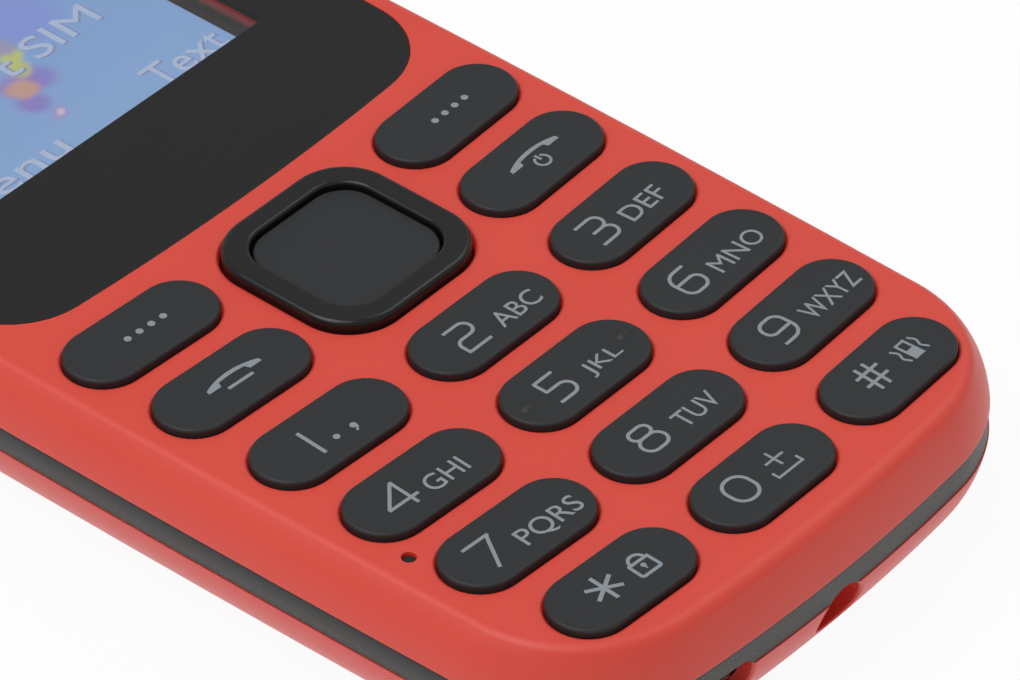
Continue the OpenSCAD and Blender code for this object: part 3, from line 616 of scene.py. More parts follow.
lean = CAVITY_LEAN * (PLATE_Z - BAND_TOP_Z) / (FACE_Z - BAND_TOP_Z)
pen = body_oval("cavity", WALL_T, BAND_TOP_Z - PAST)
cavity = pen.grow([(0, BAND_TOP_Z), (lean, PLATE_Z)]).done()
print("front shell:", len(front_shell.data.polygons), "faces before the cuts")

# %% Places of the keys and shapes of the holes
KEY_L, BOTTOM_KEY_L, KEY_W, KEY_GAP, KEY_TURN, KEY_SHIFT = 12.25, 11.45, 5.65, 0.05, 2.9, 0.12
NAV_X, NAV_Y, NAV_W, NAV_R, NAV_GAP, NAV_ROOM = 0.14, -14.26, 14.2, 4.1, 0.08, 0.16
MIDDLE_DROP, BOTTOM_ROW = 0.48, 5
# Each row's height on the face, and how far its outer keys lie from the middle.
ROWS = ((-9.95, 15.1), (-17.79, 14.9), (-26.0, 14.6), (-33.84, 14.5), (-41.68, 14.25), (-49.52, 13.45))
# Each key's name, its column and its row.
KEYS = (
    ("soft_left", -1, 0), ("soft_right", 1, 0), ("call", -1, 1), ("end", 1, 1), ("1", -1, 2), ("2", 0, 2),
    ("3", 1, 2), ("4", -1, 3), ("5", 0, 3), ("6", 1, 3), ("7", -1, 4), ("8", 0, 4), ("9", 1, 4),
    ("star", -1, 5), ("0", 0, 5), ("hash", 1, 5))
POCKET_Z, LENS_Z = 12.55, 12.7
LENS_Y, LENS_MARGIN, LENS_END_R, LENS_CORNER_R, LENS_FIT = -5.1, 2.25, 220.0, 6.3, 0.04
VIEW_W, VIEW_L, VIEW_Y, VIEW_RIM, VIEW_R = 28.0, 35.0, 25.6, 1.0, 0.3
EAR_Y, EAR_L, EAR_W = 50.0, 9.0, 1.3
MIC_SPOT, MIC_R = (-19.995, -37.6), 0.5
RIM_R, MIC_RIM_R, RIM_LIFT, RIM_STEPS = 0.33, 0.1, 0.003, 7


def key_place(side, row):
    """A key's middle and turn."""
    y, x = ROWS[row]
    if side == 0:
        return KEY_SHIFT, y + KEY_SHIFT - MIDDLE_DROP, 0.0
    return side * x + KEY_SHIFT, y + KEY_SHIFT, side * KEY_TURN


def key_length(row):
    return BOTTOM_KEY_L if row == BOTTOM_ROW else KEY_L


def lens_solid(name, grow, z0, z1):
    """The lens's outline as a solid: the phone's outline drawn in, cut by the bow of the lower edge."""
    solid = prism(body_oval(name, LENS_MARGIN - grow, z0), z1)
    lower = oval(
        "lower_bow", HALF_W - LENS_MARGIN + grow, HALF_L + grow, SIDE_R, LENS_END_R + grow,
        LENS_CORNER_R + grow, z0 - PAST)
    lower = place(prism(lower, z1 + PAST), y=LENS_Y + HALF_L)
    return combine(solid, lower, "INTERSECT")


def flare(pen, radius, face, low):
    """Lowers a hole's wide mouth from above a face through a rounded rim to the hole itself."""
    rim = arc_points(0, face + RIM_LIFT - radius, radius, math.pi / 2, math.pi, RIM_STEPS)
    return pen.grow(rim + [(radius, low)]).done()


print("keys:", len(KEYS), "in", len(ROWS), "rows")

# %% Holes of the front shell
tools = []
mouth = 2 * (KEY_GAP + RIM_R)
for name, side, row in KEYS:
    pen = stadium("hole", key_length(row) + mouth, KEY_W + mouth, FACE_Z + PAST)
    x, y, turn = key_place(side, row)
    tools.append(place(flare(pen, RIM_R, FACE_Z, PLATE_Z - PAST), x, y, turn=turn))
mouth = NAV_GAP + RIM_R
mouth_w = NAV_W + 2 * mouth
pen = rounded("hole", mouth_w, mouth_w, NAV_R + mouth - NAV_ROOM, FACE_Z + PAST, steps=20)
tools.append(place(flare(pen, RIM_R, FACE_Z, PLATE_Z - PAST), NAV_X, NAV_Y))
pen = disc("hole", MIC_R + MIC_RIM_R, FACE_Z + PAST)
tools.append(place(flare(pen, MIC_RIM_R, FACE_Z, PLATE_Z - PAST), *MIC_SPOT))
combine(front_shell, cavity)
combine(front_shell, join("key_holes", tools))
combine(front_shell, lens_solid("pocket", LENS_FIT, POCKET_Z, FACE_Z + PAST))
view_w, view_l = VIEW_W + 2 * VIEW_RIM, VIEW_L + 2 * VIEW_RIM
view_hole = rounded("view_hole", view_w, view_l, VIEW_R, PLATE_Z - PAST, steps=3)
combine(front_shell, place(prism(view_hole, LENS_Z), y=VIEW_Y))
ear_hole = stadium("ear_hole", EAR_L, EAR_W, PLATE_Z - PAST)
combine(front_shell, place(prism(ear_hole, LENS_Z), y=EAR_Y))
print("front shell:", len(front_shell.data.polygons), "faces after the cuts")

# %% Soft edges and screw posts of the front shell
POCKET_RIM_R, PARTING_R = 0.05, 0.12
SCREWS = tuple((side * x, y) for x, y in ((16.5, 48.8), (7.4, -30.12), (7.2, -45.6)) for side in (-1, 1))
BOSS_R, BOSS_IN, SCREW_R, SCREW_IN, BOARD_TOP_Z = 1.6, 0.3, 0.72, 2.7, 8.9


def at_screws(name, radius, z0, z1):
    """A round bar at each screw."""
    return join(name, [place(prism(disc(name, radius, z0), z1), x, y) for x, y in SCREWS])


rims = soften(front_shell, FACE_Z, POCKET_RIM_R)
lower_edges = soften(front_shell, WALL_Z, PARTING_R)
bosses = at_screws("bosses", BOSS_R, BOARD_TOP_Z, PLATE_Z + BOSS_IN)
combine(bosses, at_screws("bores", SCREW_R, BOARD_TOP_Z - PAST, BOARD_TOP_Z + SCREW_IN))
combine(front_shell, bosses, "UNION")
print("softened rim edges:", rims, "and lower edges:", lower_edges)

# %% [markdown]
# ## Painted shade and glow in the holes
# Light that enters red plastic comes out redder, and little light gets down into the holes. So the rims of
# the holes are painted with shade: their colour goes over to a deep red as they sink. Their sideways ends get
# a faint painted red glow. A mask keeps this to the middle of the face, because the outer walls lie as low as
# the holes.

# %% Front shell's finish
# Painted shade in the holes: how far out from the middle of the face it reaches, how far under the face it
# starts, and its deep red.
PAINTED_SHADE_REACH, PAINTED_SHADE_FROM, PAINTED_SHADE_RED = 9.1, 0.03, rgba(188, 12, 4)
# The depth of the painted red glow on the rims, and its colour.
PAINTED_GLOW_DEPTH, PAINTED_RIM_GLOW = 1.0, (0.3, 0.008, 0.004, 1.0)

aside = red_coat.sum("MAXIMUM", red_coat.size(red_coat.axis("X")) - CORNER_X * MM, 0.0)
beyond = red_coat.sum("MAXIMUM", red_coat.size(red_coat.axis("Y")) - CORNER_Y * MM, 0.0)
inside = (aside * aside + beyond * beyond) < (PAINTED_SHADE_REACH * MM) ** 2
height = red_coat.axis("Z")
rim_z = (FACE_Z - RIM_R) * MM
painted_shade_mask = red_coat.ramp(height, (FACE_Z - PAINTED_SHADE_FROM) * MM, rim_z) * inside
# Painted shade: the rims go over to a deep red as they sink.
red_coat.tint(painted_shade_mask, PAINTED_SHADE_RED)
painted_glow_mask = red_coat.ramp(height, (FACE_Z - PAINTED_GLOW_DEPTH) * MM, rim_z)
facing = red_coat.node("NewGeometry", output="Normal")
sideways = red_coat.size(red_coat.axis("X", facing))
# Painted glow: a faint red light on the sunk rims that face sideways.
painted_glow = red_coat.mix(painted_shade_mask * painted_glow_mask * sideways, BLACK, PAINTED_RIM_GLOW)
red_coat.set(Emission_Color=painted_glow, Emission_Strength=1.0)
wear(front_shell, red_coat, "phone", "red_shell", "front_housing")
print("front shell wears", front_shell.data.materials[0].name)

# %% [markdown]
# ## Dark chassis
# Between the two red shells a dark band shows. It is the edge of the chassis, the moulding that carries the
# board, the battery and the screws. The body under the band follows the cover's curve, so it is grown down
# from its widest ring. The band stands back a tenth of a millimetre, so that both shells cast a line on it.

# %% Chassis's outer form
COVER_LEAN = math.radians(8.8)
COVER_R = BAND_Z / (1 - math.sin(COVER_LEAN))
COVER_INSET = COVER_R * math.cos(COVER_LEAN)
COVER_T, COVER_STEPS, CHASSIS_SKIN, CHASSIS_Z = 1.1, 18, 1.25, 1.6
BAND_IN, BAND_EDGE_R, COVER_GAP = 0.09, 0.1, 0.02
TONGUE_IN, TONGUE_H = 1.5, 0.7


def bowl(name, skin, z0, start_z):
    """A solid that lies a skin inside the cover's curve, from a height near the band down to z0."""
    radius = COVER_R - skin
    top = math.asin((BAND_Z - COVER_R) / radius)
    low = math.asin(max(-1.0, (z0 - COVER_R) / radius))
    rings = arc_points(COVER_INSET, COVER_R, radius, top, low, COVER_STEPS)
    first = rings[0][0]
    pen = body_oval(name, first, start_z)
    return pen.grow([(inset - first, z) for inset, z in rings if z < start_z]).done()


chassis = bowl("chassis", CHASSIS_SKIN, CHASSIS_Z, BAND_Z + LAP)
band = prism(body_oval("band", BAND_IN, BAND_Z), BAND_TOP_Z)
soften(band, BAND_TOP_Z, BAND_EDGE_R)
combine(chassis, band, "UNION")
tongue = prism(body_oval("tongue", TONGUE_IN, BAND_TOP_Z - PAST), BAND_TOP_Z + TONGUE_H)
combine(chassis, tongue, "UNION")
rear_form = copy_of(chassis, "rear_form")
print("chassis:", len(chassis.data.polygons), "faces before the cuts")

# %% Cutters for the chassis and the cover
FLOOR_Z, FLOOR_TOP_Z, BOARD_Z = 5.95, 6.65, 8.0
ROOM_IN, CHAMBER_IN, CHAMBER_Z = 2.4, 6.2, 2.6
BAY_W, BAY_L, BAY_R, BAY_Y = 34.6, 53.6, 1.0, 2.9
CHAMBERS, CHAMBER_HALF_W = ((30.7, 60.0), (-60.0, -24.9)), 30.0
CARD_WINDOW, CONTACT_WINDOW, CONTACT_Z = (-15.5, -0.5, 5.0, 19.0), (-12.0, -4.0, 28.7, 31.7), 3.0
REAR_BOSS_R, SHANK_R, HEAD_R, SEAT_Z = 2.0, 0.8, 1.45, 5.0
NAIL_X, NAIL_Z, NAIL_R, NAIL_DEPTH, NAIL_WALL = 0.35, 5.84, 2.04, 2.8, 0.8
NAIL_SPARE, NAIL_ROOM_Y = 0.3, (-60.5, -52.7)
OPENING_R, OPENING_STEPS = 0.28, 10
PORT_X, PORT_W, PORT_LOW, PORT_TOP, PORT_R = -12.3, 7.8, 5.05, 8.0, 1.1
SOCKET_W, SOCKET_TOP, SOCKET_R, SOCKET_Y, SOCKET_IN = 8.1, 8.3, 0.6, -54.7, -49.1
MOUTH_LAP = 0.1
SPEAKER_SPOT, SLOT_COUNT, SLOT_PITCH, SLOT_L, SLOT_W = (8.5, 41.0), 5, 2.0, 9.0, 1.0


def block(name, x0, x1, y0, y1, z0, z1):
    """An upright box between two corners."""
    pen = Pen(name, x0, y0, z0)
    pen.line(x1, y0).line(x1, y1).line(x0, y1)
    return prism(pen.close(), z1)


def port_cut(width, top, radius, y0, y1):
    """A length of the charging opening, drawn upright with its top towards -Y and then tipped over."""
    half = width / 2
    pen = Pen("port", -half, -PORT_LOW, 0.0)
    pen.line(half, -PORT_LOW).line(half, radius - top).arc(half - radius, radius - top, -90, 8)
    pen.line(radius - half, -top).arc(radius - half, radius - top, -90, 8)
    return place(prism(pen.close(), y1 - y0), PORT_X, y0, tip=-90)


def end_y(x, z):
    """How far down the cover's curve reaches at the bottom end, at a place across and a height."""
    inset = COVER_INSET - COVER_R * math.sin(math.acos((COVER_R - z) / COVER_R))
    bow = END_R - inset
    return inset - HALF_L + bow - math.sqrt(bow ** 2 - x ** 2)


def opening_cut(x, z, half_w, half_h, corner_r, deep_y):
    """A cutter for an opening in the bottom end, with a rounded mouth that follows the cover's curve."""
    outline = []
    for quarter, (side, level) in enumerate(((1, 1), (-1, 1), (-1, -1), (1, -1))):
        centre = Vector((x + side * (half_w - corner_r), z + level * (half_h - corner_r)))
        for step in range(OPENING_STEPS + 1):
            turn = math.pi / 2 * (quarter + step / OPENING_STEPS)
            out = Vector((math.cos(turn), math.sin(turn)))
            outline.append((centre + corner_r * out, out))
    rim = arc_points(OPENING_R, OPENING_R - RIM_LIFT, OPENING_R, -math.pi / 2, 0, RIM_STEPS)
    shape = bmesh.new()
    loops = []
    for wider, depth in [(OPENING_R, -PAST), *rim]:
        spots = [spot + wider * out for spot, out in outline]
        loops.append([shape.verts.new(Vector((s.x, end_y(*s) + depth, s.y)) * MM) for s in spots])
    loops.append([shape.verts.new(Vector((spot.x, deep_y, spot.y)) * MM) for spot, out in outline])
    for near, far in zip(loops, loops[1:]):
        for index in range(len(near)):
            shape.faces.new((near[index - 1], near[index], far[index], far[index - 1]))
    shape.faces.new(loops[0])
    shape.faces.new(loops[-1])
    bmesh.ops.remove_doubles(shape, verts=shape.verts, dist=MERGE)
    bmesh.ops.recalc_face_normals(shape, faces=shape.faces)
    mesh = bpy.data.meshes.new("opening")
    shape.to_mesh(mesh)
    shape.free()
    piece = bpy.data.objects.new("opening", mesh)
    bpy.context.scene.collection.objects.link(piece)
    return piece


def nail_cut():
    return opening_cut(NAIL_X, NAIL_Z, NAIL_R, NAIL_R, NAIL_R, NAIL_DEPTH - HALF_L)


def mouth_cut(deep_y):
    """The charging opening's outer part."""
    half_h = (PORT_TOP - PORT_LOW) / 2
    return opening_cut(PORT_X, PORT_LOW + half_h, PORT_W / 2, half_h, PORT_R, deep_y)


def speaker_slots(z0, z1):
    slots = []
    for index in range(SLOT_COUNT):
        slot = place(prism(stadium("slot", SLOT_L, SLOT_W, z0, steps=10), z1), turn=90)
        x = SPEAKER_SPOT[0] + (index - (SLOT_COUNT - 1) / 2) * SLOT_PITCH
        slots.append(place(slot, x, SPEAKER_SPOT[1]))
    return join("speaker_slots", slots)


print("ringer slots:", SLOT_COUNT)

# %% Rooms and openings of the chassis
combine(chassis, prism(body_oval("room", ROOM_IN, FLOOR_TOP_Z), BAND_TOP_Z + TONGUE_H + PAST))
for low, high in CHAMBERS:
    chamber = prism(body_oval("chamber", CHAMBER_IN, CHAMBER_Z), FLOOR_TOP_Z + LAP)
    half = block("half", -CHAMBER_HALF_W, CHAMBER_HALF_W, low, high, 0, BAND_TOP_Z)
    combine(chassis, combine(chamber, half, "INTERSECT"))
rear_bosses = at_screws("rear_bosses", REAR_BOSS_R, CHASSIS_Z - LAP, BOARD_Z)
combine(chassis, combine(rear_bosses, rear_form, "INTERSECT"), "UNION")
combine(chassis, place(prism(rounded("bay", BAY_W, BAY_L, BAY_R, -PAST), FLOOR_Z), y=BAY_Y))
combine(chassis, at_screws("bores", SHANK_R, SEAT_Z - LAP, BOARD_Z + PAST))
combine(chassis, at_screws("heads", HEAD_R, -PAST, SEAT_Z))
combine(chassis, block("card_window", *CARD_WINDOW, FLOOR_Z - PAST, FLOOR_TOP_Z + PAST))
combine(chassis, block("contact_window", *CONTACT_WINDOW, CONTACT_Z, FLOOR_Z))
combine(chassis, mouth_cut(SOCKET_Y + MOUTH_LAP))
combine(chassis, port_cut(SOCKET_W, SOCKET_TOP, SOCKET_R, SOCKET_Y, SOCKET_IN))
combine(chassis, nail_cut())
reach = NAIL_R + NAIL_WALL + NAIL_SPARE
nail_room = block("nail_room", NAIL_X - reach, NAIL_X + reach, *NAIL_ROOM_Y, -PAST, BAND_Z - COVER_GAP)
combine(chassis, nail_room)
combine(chassis, speaker_slots(CHASSIS_Z - PAST, CHAMBER_Z + LAP))
print("chassis:", len(chassis.data.polygons), "faces after the cuts")

# %% [markdown]
# ## The band's plastic
# The chassis is a plain dark grey moulding. The band shows its spark-worn grain: a little rough, so that it
# greys under the sky. Along the sides its upper half is darker, in the shade of the red shell's edge.

# %% Chassis's finish
SHADE_LOW, SHADE_TOP, SHADE_FROM, SHADE_TO, SHADE_SHARE = 7.9, 9.2, 16.0, 22.0, 0.95

band_grey = moulded("band_grey", rgba(60, 60, 58), rgba(69, 69, 66), 0.5, SPECKLE, 0.00006)
add_speckle(band_grey)
shade = band_grey.ramp(band_grey.axis("Z"), SHADE_LOW * MM, SHADE_TOP * MM)
side = band_grey.ramp(band_grey.size(band_grey.axis("X")), SHADE_FROM * MM, SHADE_TO * MM)
band_grey.tint(shade * side * SHADE_SHARE, rgba(10, 10, 10))
wear(chassis, band_grey, "phone", "dark_band", "rear_housing")
print("chassis wears", chassis.data.materials[0].name)

# %% [markdown]
# ## Back cover
# The cover is a shallow tray whose sides roll under the phone. It is grown from the band down to the flat
# that the phone lies on, hollowed with the same curve a wall further in, and opened for the fingernail, the
# charging plug and the ringer. The openings' edges are rounded, as a moulding's are.

# %% Cover
COVER_EDGE_R, SLOT_RIM_R, SCOOP_SKIN = 0.1, 0.15, 0.55
COVER_TOP_Z = BAND_Z - COVER_GAP

back_cover = bowl("back_cover_shell", 0, 0.0, COVER_TOP_Z)
hollow = bowl("hollow", COVER_T, COVER_T, BAND_Z + LAP)
combine(back_cover, hollow)
scoop = prism(disc("nail_bar", NAIL_R + NAIL_WALL, -PAST, steps=28), NAIL_DEPTH + NAIL_WALL)
place(scoop, NAIL_X, -HALF_L, NAIL_Z, tip=-90)
combine(scoop, bowl("inner", SCOOP_SKIN, SCOOP_SKIN, COVER_TOP_Z), "INTERSECT")
combine(back_cover, scoop, "UNION")
combine(back_cover, nail_cut())
combine(back_cover, mouth_cut(SOCKET_IN))
combine(back_cover, speaker_slots(-PAST, COVER_T + PAST))
slot_rims = soften(back_cover, 0.0, SLOT_RIM_R)
top_rims = soften(back_cover, COVER_TOP_Z, COVER_EDGE_R)
wear(back_cover, red_grain, "back_cover", "red_cover", "back_cover")
print("cover:", len(back_cover.data.polygons), "faces, softened:", slot_rims, top_rims)

# %% [markdown]
# ## Keys
# Each key is a hard cap with a soft top edge, a lip that keeps it in the shell and a foot that presses the
# dome. The sixteen caps differ only in length and place, so two are modelled and copied. The middle number
# key then gets two raised points that a finger finds in the dark.

# %% Keycaps
KEY_TOP_Z, LIP_Z, LIP_T, LIP_W, FOOT_Z, FOOT_R = 13.97, 11.2, 0.55, 0.3, 9.55, 1.4
KEY_EDGE_R, KEY_GRAIN, KEY_IOR, FINE_DEPTH = 0.22, 7000.0, 1.42, 0.00001
POINT_RINGS = (0.12, 0.25, 0.38, 0.52, 0.66, 0.8)
POINT_R, POINT_H, POINT_V, POINTS_U = 0.6, 0.24, 0.03, (-4.72, 4.83)
POINT_SUNK, POINT_STEP = 0.1, 0.002


def quarter_round(radius, top, steps=5):
    """Rings of a soft top edge."""
    return arc_points(radius, top - radius, radius, 0, math.pi / 2, steps)


def keycap(name, length):
    pen = stadium(name, length, KEY_W, LIP_Z, steps=24)
    cap = pen.grow(quarter_round(KEY_EDGE_R, KEY_TOP_Z)).done()
    lip = prism(stadium("lip", length + 2 * LIP_W, KEY_W + 2 * LIP_W, LIP_Z, steps=24), LIP_Z + LIP_T)
    combine(cap, lip, "UNION")
    foot = prism(disc("foot", FOOT_R, FOOT_Z), LIP_Z + LIP_T / 2)
    return combine(cap, foot, "UNION")


def finger_point(u):
    """A low round point on the middle key."""
    pen = disc("point", POINT_R, KEY_TOP_Z - POINT_SUNK, steps=24)
    rings = [(POINT_R * share, KEY_TOP_Z + POINT_H * math.sin(math.pi / 2 * share)) for share in POINT_RINGS]
    pen.grow([(0, KEY_TOP_Z + POINT_STEP)] + rings)
    return place(pen.done(), u, POINT_V)


long_cap = keycap("long_cap", KEY_L)
short_cap = keycap("short_cap", BOTTOM_KEY_L)
key_grey = moulded(
    "key_grey", rgba(32, 34, 36), rgba(38, 40, 42), 0.5, KEY_GRAIN, FINE_DEPTH, IOR=KEY_IOR)
for name, side, row in KEYS:
    cap = copy_of(short_cap if row == BOTTOM_ROW else long_cap, "cap_" + name)
    if name == "5":
        combine(cap, join("points", [finger_point(u) for u in POINTS_U]), "UNION")
    x, y, turn = key_place(side, row)
    place(cap, x, y, turn=turn)
    wear(cap, key_grey, "key_" + name, "key_plastic", "key_" + name)
bpy.data.objects.remove(long_cap)
bpy.data.objects.remove(short_cap)
print("keys:", len(KEYS))

# %% [markdown]
# ## Rocker and middle key
# The rocker is a square ring with round corners, shinier than the keys. Its outer edge is a wide fillet and
# its inner edge a narrow one, and both catch a line of light. The middle key lies sunk inside it.

# %% Rocker
NAV_TOP_Z, NAV_LIP_Z, NAV_LIP_T, NAV_LIP_W = 14.25, 10.9, 0.5, 0.55
NAV_HOLE_W, NAV_HOLE_R, OK_W, OK_R, OK_TOP_Z, OK_Z = 10.6, 2.6, 10.4, 2.7, 13.8, 9.9
NAV_EDGE_R, NAV_INNER_R, OK_EDGE_R, FOOT_LAP = 0.42, 0.28, 0.2, 0.2

pen = rounded("rocker", NAV_W, NAV_W, NAV_R, NAV_LIP_Z, steps=20)
rocker = pen.grow(quarter_round(NAV_EDGE_R, NAV_TOP_Z, steps=9)).done()
lip_w = NAV_W + 2 * NAV_LIP_W
lip = prism(rounded("lip", lip_w, lip_w, NAV_R + NAV_LIP_W, NAV_LIP_Z), NAV_LIP_Z + NAV_LIP_T)
combine(rocker, lip, "UNION")
mouth_w = NAV_HOLE_W + 2 * NAV_INNER_R
pen = rounded("hole", mouth_w, mouth_w, NAV_HOLE_R + NAV_INNER_R, NAV_TOP_Z + PAST, steps=20)
combine(rocker, flare(pen, NAV_INNER_R, NAV_TOP_Z, NAV_LIP_Z - PAST))
place(rocker, NAV_X, NAV_Y)
rocker_gloss = moulded(
    "rocker_gloss", rgba(18, 19, 20), rgba(23, 24, 25), 0.24, KEY_GRAIN, 0.000002, IOR=KEY_IOR)
wear(rocker, rocker_gloss, "nav_ring", "rocker_plastic", "nav_ring")
pen = rounded("middle_key", OK_W, OK_W, OK_R, OK_Z, steps=20)
middle_key = pen.grow(quarter_round(OK_EDGE_R, OK_TOP_Z)).done()
combine(middle_key, prism(disc("foot", FOOT_R, FOOT_Z), OK_Z + FOOT_LAP), "UNION")
place(middle_key, NAV_X, NAV_Y)
wear(middle_key, key_grey, "ok_key", "rocker_plastic", "ok_key")
print("rocker:", len(rocker.data.polygons), "faces, middle key:", len(middle_key.data.polygons))

# %% [markdown]
# ## Lens and screen
# The lens is one plate of tinted plastic, printed black from behind everywhere but over the picture. The
# black border and the clear window are two pieces here, because one shines from its face and the other lets
# light through. Under it lies the display, which glows by itself: a sky-blue picture with a soft coloured
# cloud.

# %% Lens
WINDOW = (-15.25, 15.25, 7.15, 44.1)
LENS_EDGE_R, LENS_IOR, SMEAR, DUST = 0.05, 1.49, 220.0, 26000.0

border = lens_solid("lens_border", 0, LENS_Z, FACE_Z)
soften(border, FACE_Z, LENS_EDGE_R)
combine(border, place(prism(stadium("ear", EAR_L, EAR_W, LENS_Z - PAST), FACE_Z + PAST), y=EAR_Y))
combine(border, block("window_hole", *WINDOW, LENS_Z - PAST, FACE_Z + PAST))
window = block("lens_window", *WINDOW, LENS_Z, FACE_Z)
lens_black = Finish("lens_black", IOR=LENS_IOR)
smear = lens_black.clouded(SMEAR, rgba(8, 8, 9), rgba(13, 13, 14), detail=4.0)
dust = lens_black.noise(DUST, detail=1.0)
lens_black.set(Roughness=smear * 0.1 + dust * 0.05 + 0.03)
lens_clear = Finish("lens_clear", IOR=LENS_IOR, Transmission_Weight=1.0)
smear = lens_clear.clouded(SMEAR, (0.9, 0.92, 0.93, 1.0), (0.94, 0.95, 0.96, 1.0), detail=4.0)
lens_clear.set(Roughness=smear * 0.03 + 0.005)
wear(border, lens_black, "phone", "lens", "display_lens")
wear(window, lens_clear, "phone", "lens", "display_lens")
print("lens window in mm:", WINDOW)

# %% Screen
PANEL_W, PANEL_L, PANEL_Y, PANEL_Z, PANEL_TOP_Z = 34.0, 44.6, 23.1, 9.2, 11.6
PANEL_STEP, PANEL_STEP_Z, PANEL_RISE, PANEL_R = 0.35, 10.4, 0.01, 0.3
PICTURE_SKIN, PICTURE_LOW, PICTURE_TOP = 0.05, 8.0, 43.0
WARP, WARP_SCALE, SPOT_CORE = 1.6, 300.0, 0.35
# Each soft spot of the picture: its place, its reach, its strength and its colour.
SPOTS = (
    (5.6, 21.6, 4.4, 0.75, (122, 134, 210)), (2.0, 15.9, 1.9, 0.8, (128, 108, 190)),
    (-0.4, 14.1, 1.6, 0.85, (132, 108, 186)), (0.6, 16.2, 2.2, 0.8, (140, 112, 186)),
    (0.4, 15.7, 1.5, 0.85, (196, 148, 112)), (1.9, 17.4, 1.4, 0.95, (180, 182, 100)),
    (2.2, 18.9, 1.4, 0.95, (184, 188, 96)), (2.6, 20.3, 1.3, 0.8, (150, 140, 170)),
    (-0.2, 12.0, 1.1, 0.7, (158, 134, 194)), (-0.1, 12.0, 0.55, 0.7, (214, 192, 196)))

pen = rounded("screen", PANEL_W, PANEL_L, PANEL_R, PANEL_Z, steps=3)
pen.grow([(0, PANEL_STEP_Z), (PANEL_STEP, PANEL_STEP_Z + PANEL_RISE), (PANEL_STEP, PANEL_TOP_Z)])
screen = place(pen.done(), y=PANEL_Y)
picture = Finish("lit_picture", Roughness=0.25, Emission_Strength=1.0)
wide = picture.size(picture.axis("X")) < VIEW_W / 2 * MM
tall = picture.size(picture.axis("Y") - VIEW_Y * MM) < VIEW_L / 2 * MM
shown = wide * tall * (picture.axis("Z") > (PANEL_TOP_Z - PICTURE_SKIN) * MM)
rise = picture.ramp(picture.axis("Y"), PICTURE_LOW * MM, PICTURE_TOP * MM)
drawn = picture.mix(rise, rgba(126, 160, 206), rgba(106, 144, 198))
warp = picture.node("TexNoise", Vector=picture.place, Scale=WARP_SCALE, Detail=2.0, output="Color")
bend = {"operation": "MULTIPLY_ADD"}
bent = picture.node("VectorMath", bend, i0=warp, i1=(WARP * MM, WARP * MM, 0), i2=picture.place)
level = picture.node("VectorMath", {"operation": "MULTIPLY"}, i0=bent, i1=(1, 1, 0))
for spot_x, spot_y, reach, strength, colour in SPOTS:
    centre = ((spot_x + WARP / 2) * MM, (spot_y + WARP / 2) * MM, 0)
    away = picture.node("VectorMath", {"operation": "DISTANCE"}, output="Value", i0=level, i1=centre)
    near = picture.node(
        "MapRange", {"interpolation_type": "SMOOTHSTEP"}, Value=away, From_Min=reach * MM,
        From_Max=reach * SPOT_CORE * MM)
    drawn = picture.mix(near * strength, drawn, rgba(*colour))
picture.set(Base_Color=rgba(10, 10, 12), Emission_Color=picture.mix(shown, BLACK, drawn))
wear(screen, picture, "phone", "display", "display_panel")
print("screen picture in mm:", VIEW_W, VIEW_L)

# %% [markdown]
# ## Printed legends
# The keys carry pale prints: a number and its letters, or a small sign. A print is a stroke of even width, so
# each is drawn with the pen as its middle line, given its width as a curve's bevel, and pressed flat until it
# is as thin as ink. The letters are text with the font that comes with the program, squeezed to their size.

# %% Stroke helpers
INK_T, INK_STEP, INK_LIFT, TYPE_SIZE = 0.03, 0.002, 0.004, 2.0
DIGIT_STROKE, STAR_STROKE, DIGIT_SIZE, SIGN_STROKE = 0.26, 0.3, 1.05, 0.2


def stroke(path, width, steps=12):
    """A flat stroke along a path. A pair is a line to a point, a triple an arc about a point by a turn."""
    pen = Pen("stroke", *path[0])
    for step in path[1:]:
        if len(step) == 2:
            pen.line(*step)
        else:
            pen.arc(*step, steps)
    bpy.ops.mesh.select_all(action="SELECT")
    bpy.ops.mesh.remove_doubles(threshold=MERGE)
    bpy.ops.object.mode_set(mode="OBJECT")
    bpy.ops.object.convert(target="CURVE")
    curve = bpy.context.object
    curve.data.bevel_depth = width / 2 * MM
    curve.data.bevel_resolution = 2
    curve.data.use_fill_caps = True
    bpy.ops.object.convert(target="MESH")
    return press_flat(bpy.context.object)


def press_flat(piece):
    """Squeezes a print to the thickness of ink."""
    make_active(piece)
    heights = [corner[2] for corner in piece.bound_box]
    piece.scale.z = INK_T * MM / (max(heights) - min(heights))
    bpy.ops.object.transform_apply(location=True, rotation=True, scale=True)
    return piece


def dot(x, y, radius):
    return place(prism(disc("dot", radius, -INK_T / 2, steps=16), INK_T / 2), x, y)


def strokes(paths, width):
    """Strokes that lie on each other by a hair, so that none hides in another."""
    made = [place(stroke(path, width), z=index * INK_STEP) for index, path in enumerate(paths)]
    return join("strokes", made)


def lettering(text, width, height, bold=0.0):
    """Text centred on its own box and squeezed to a size."""
    clear_selection()
    bpy.ops.object.text_add(location=(0, 0, 0))
    words = bpy.context.object
    words.data.body = text
    words.data.size = TYPE_SIZE * MM
    words.data.extrude = INK_T / 2 * MM
    words.data.offset = bold * MM
    words.data.resolution_u = 4
    bpy.ops.object.convert(target="MESH")
    words = bpy.context.object
    low = [min(vertex.co[axis] for vertex in words.data.vertices) for axis in range(2)]
    high = [max(vertex.co[axis] for vertex in words.data.vertices) for axis in range(2)]
    words.scale = (width * MM / (high[0] - low[0]), height * MM / (high[1] - low[1]), 1)
    words.location = [-(low[axis] + high[axis]) / 2 * words.scale[axis] for axis in range(2)] + [0]
    bpy.ops.object.transform_apply(location=True, rotation=True, scale=True)
    return words


print("ink is", INK_T, "mm thick")

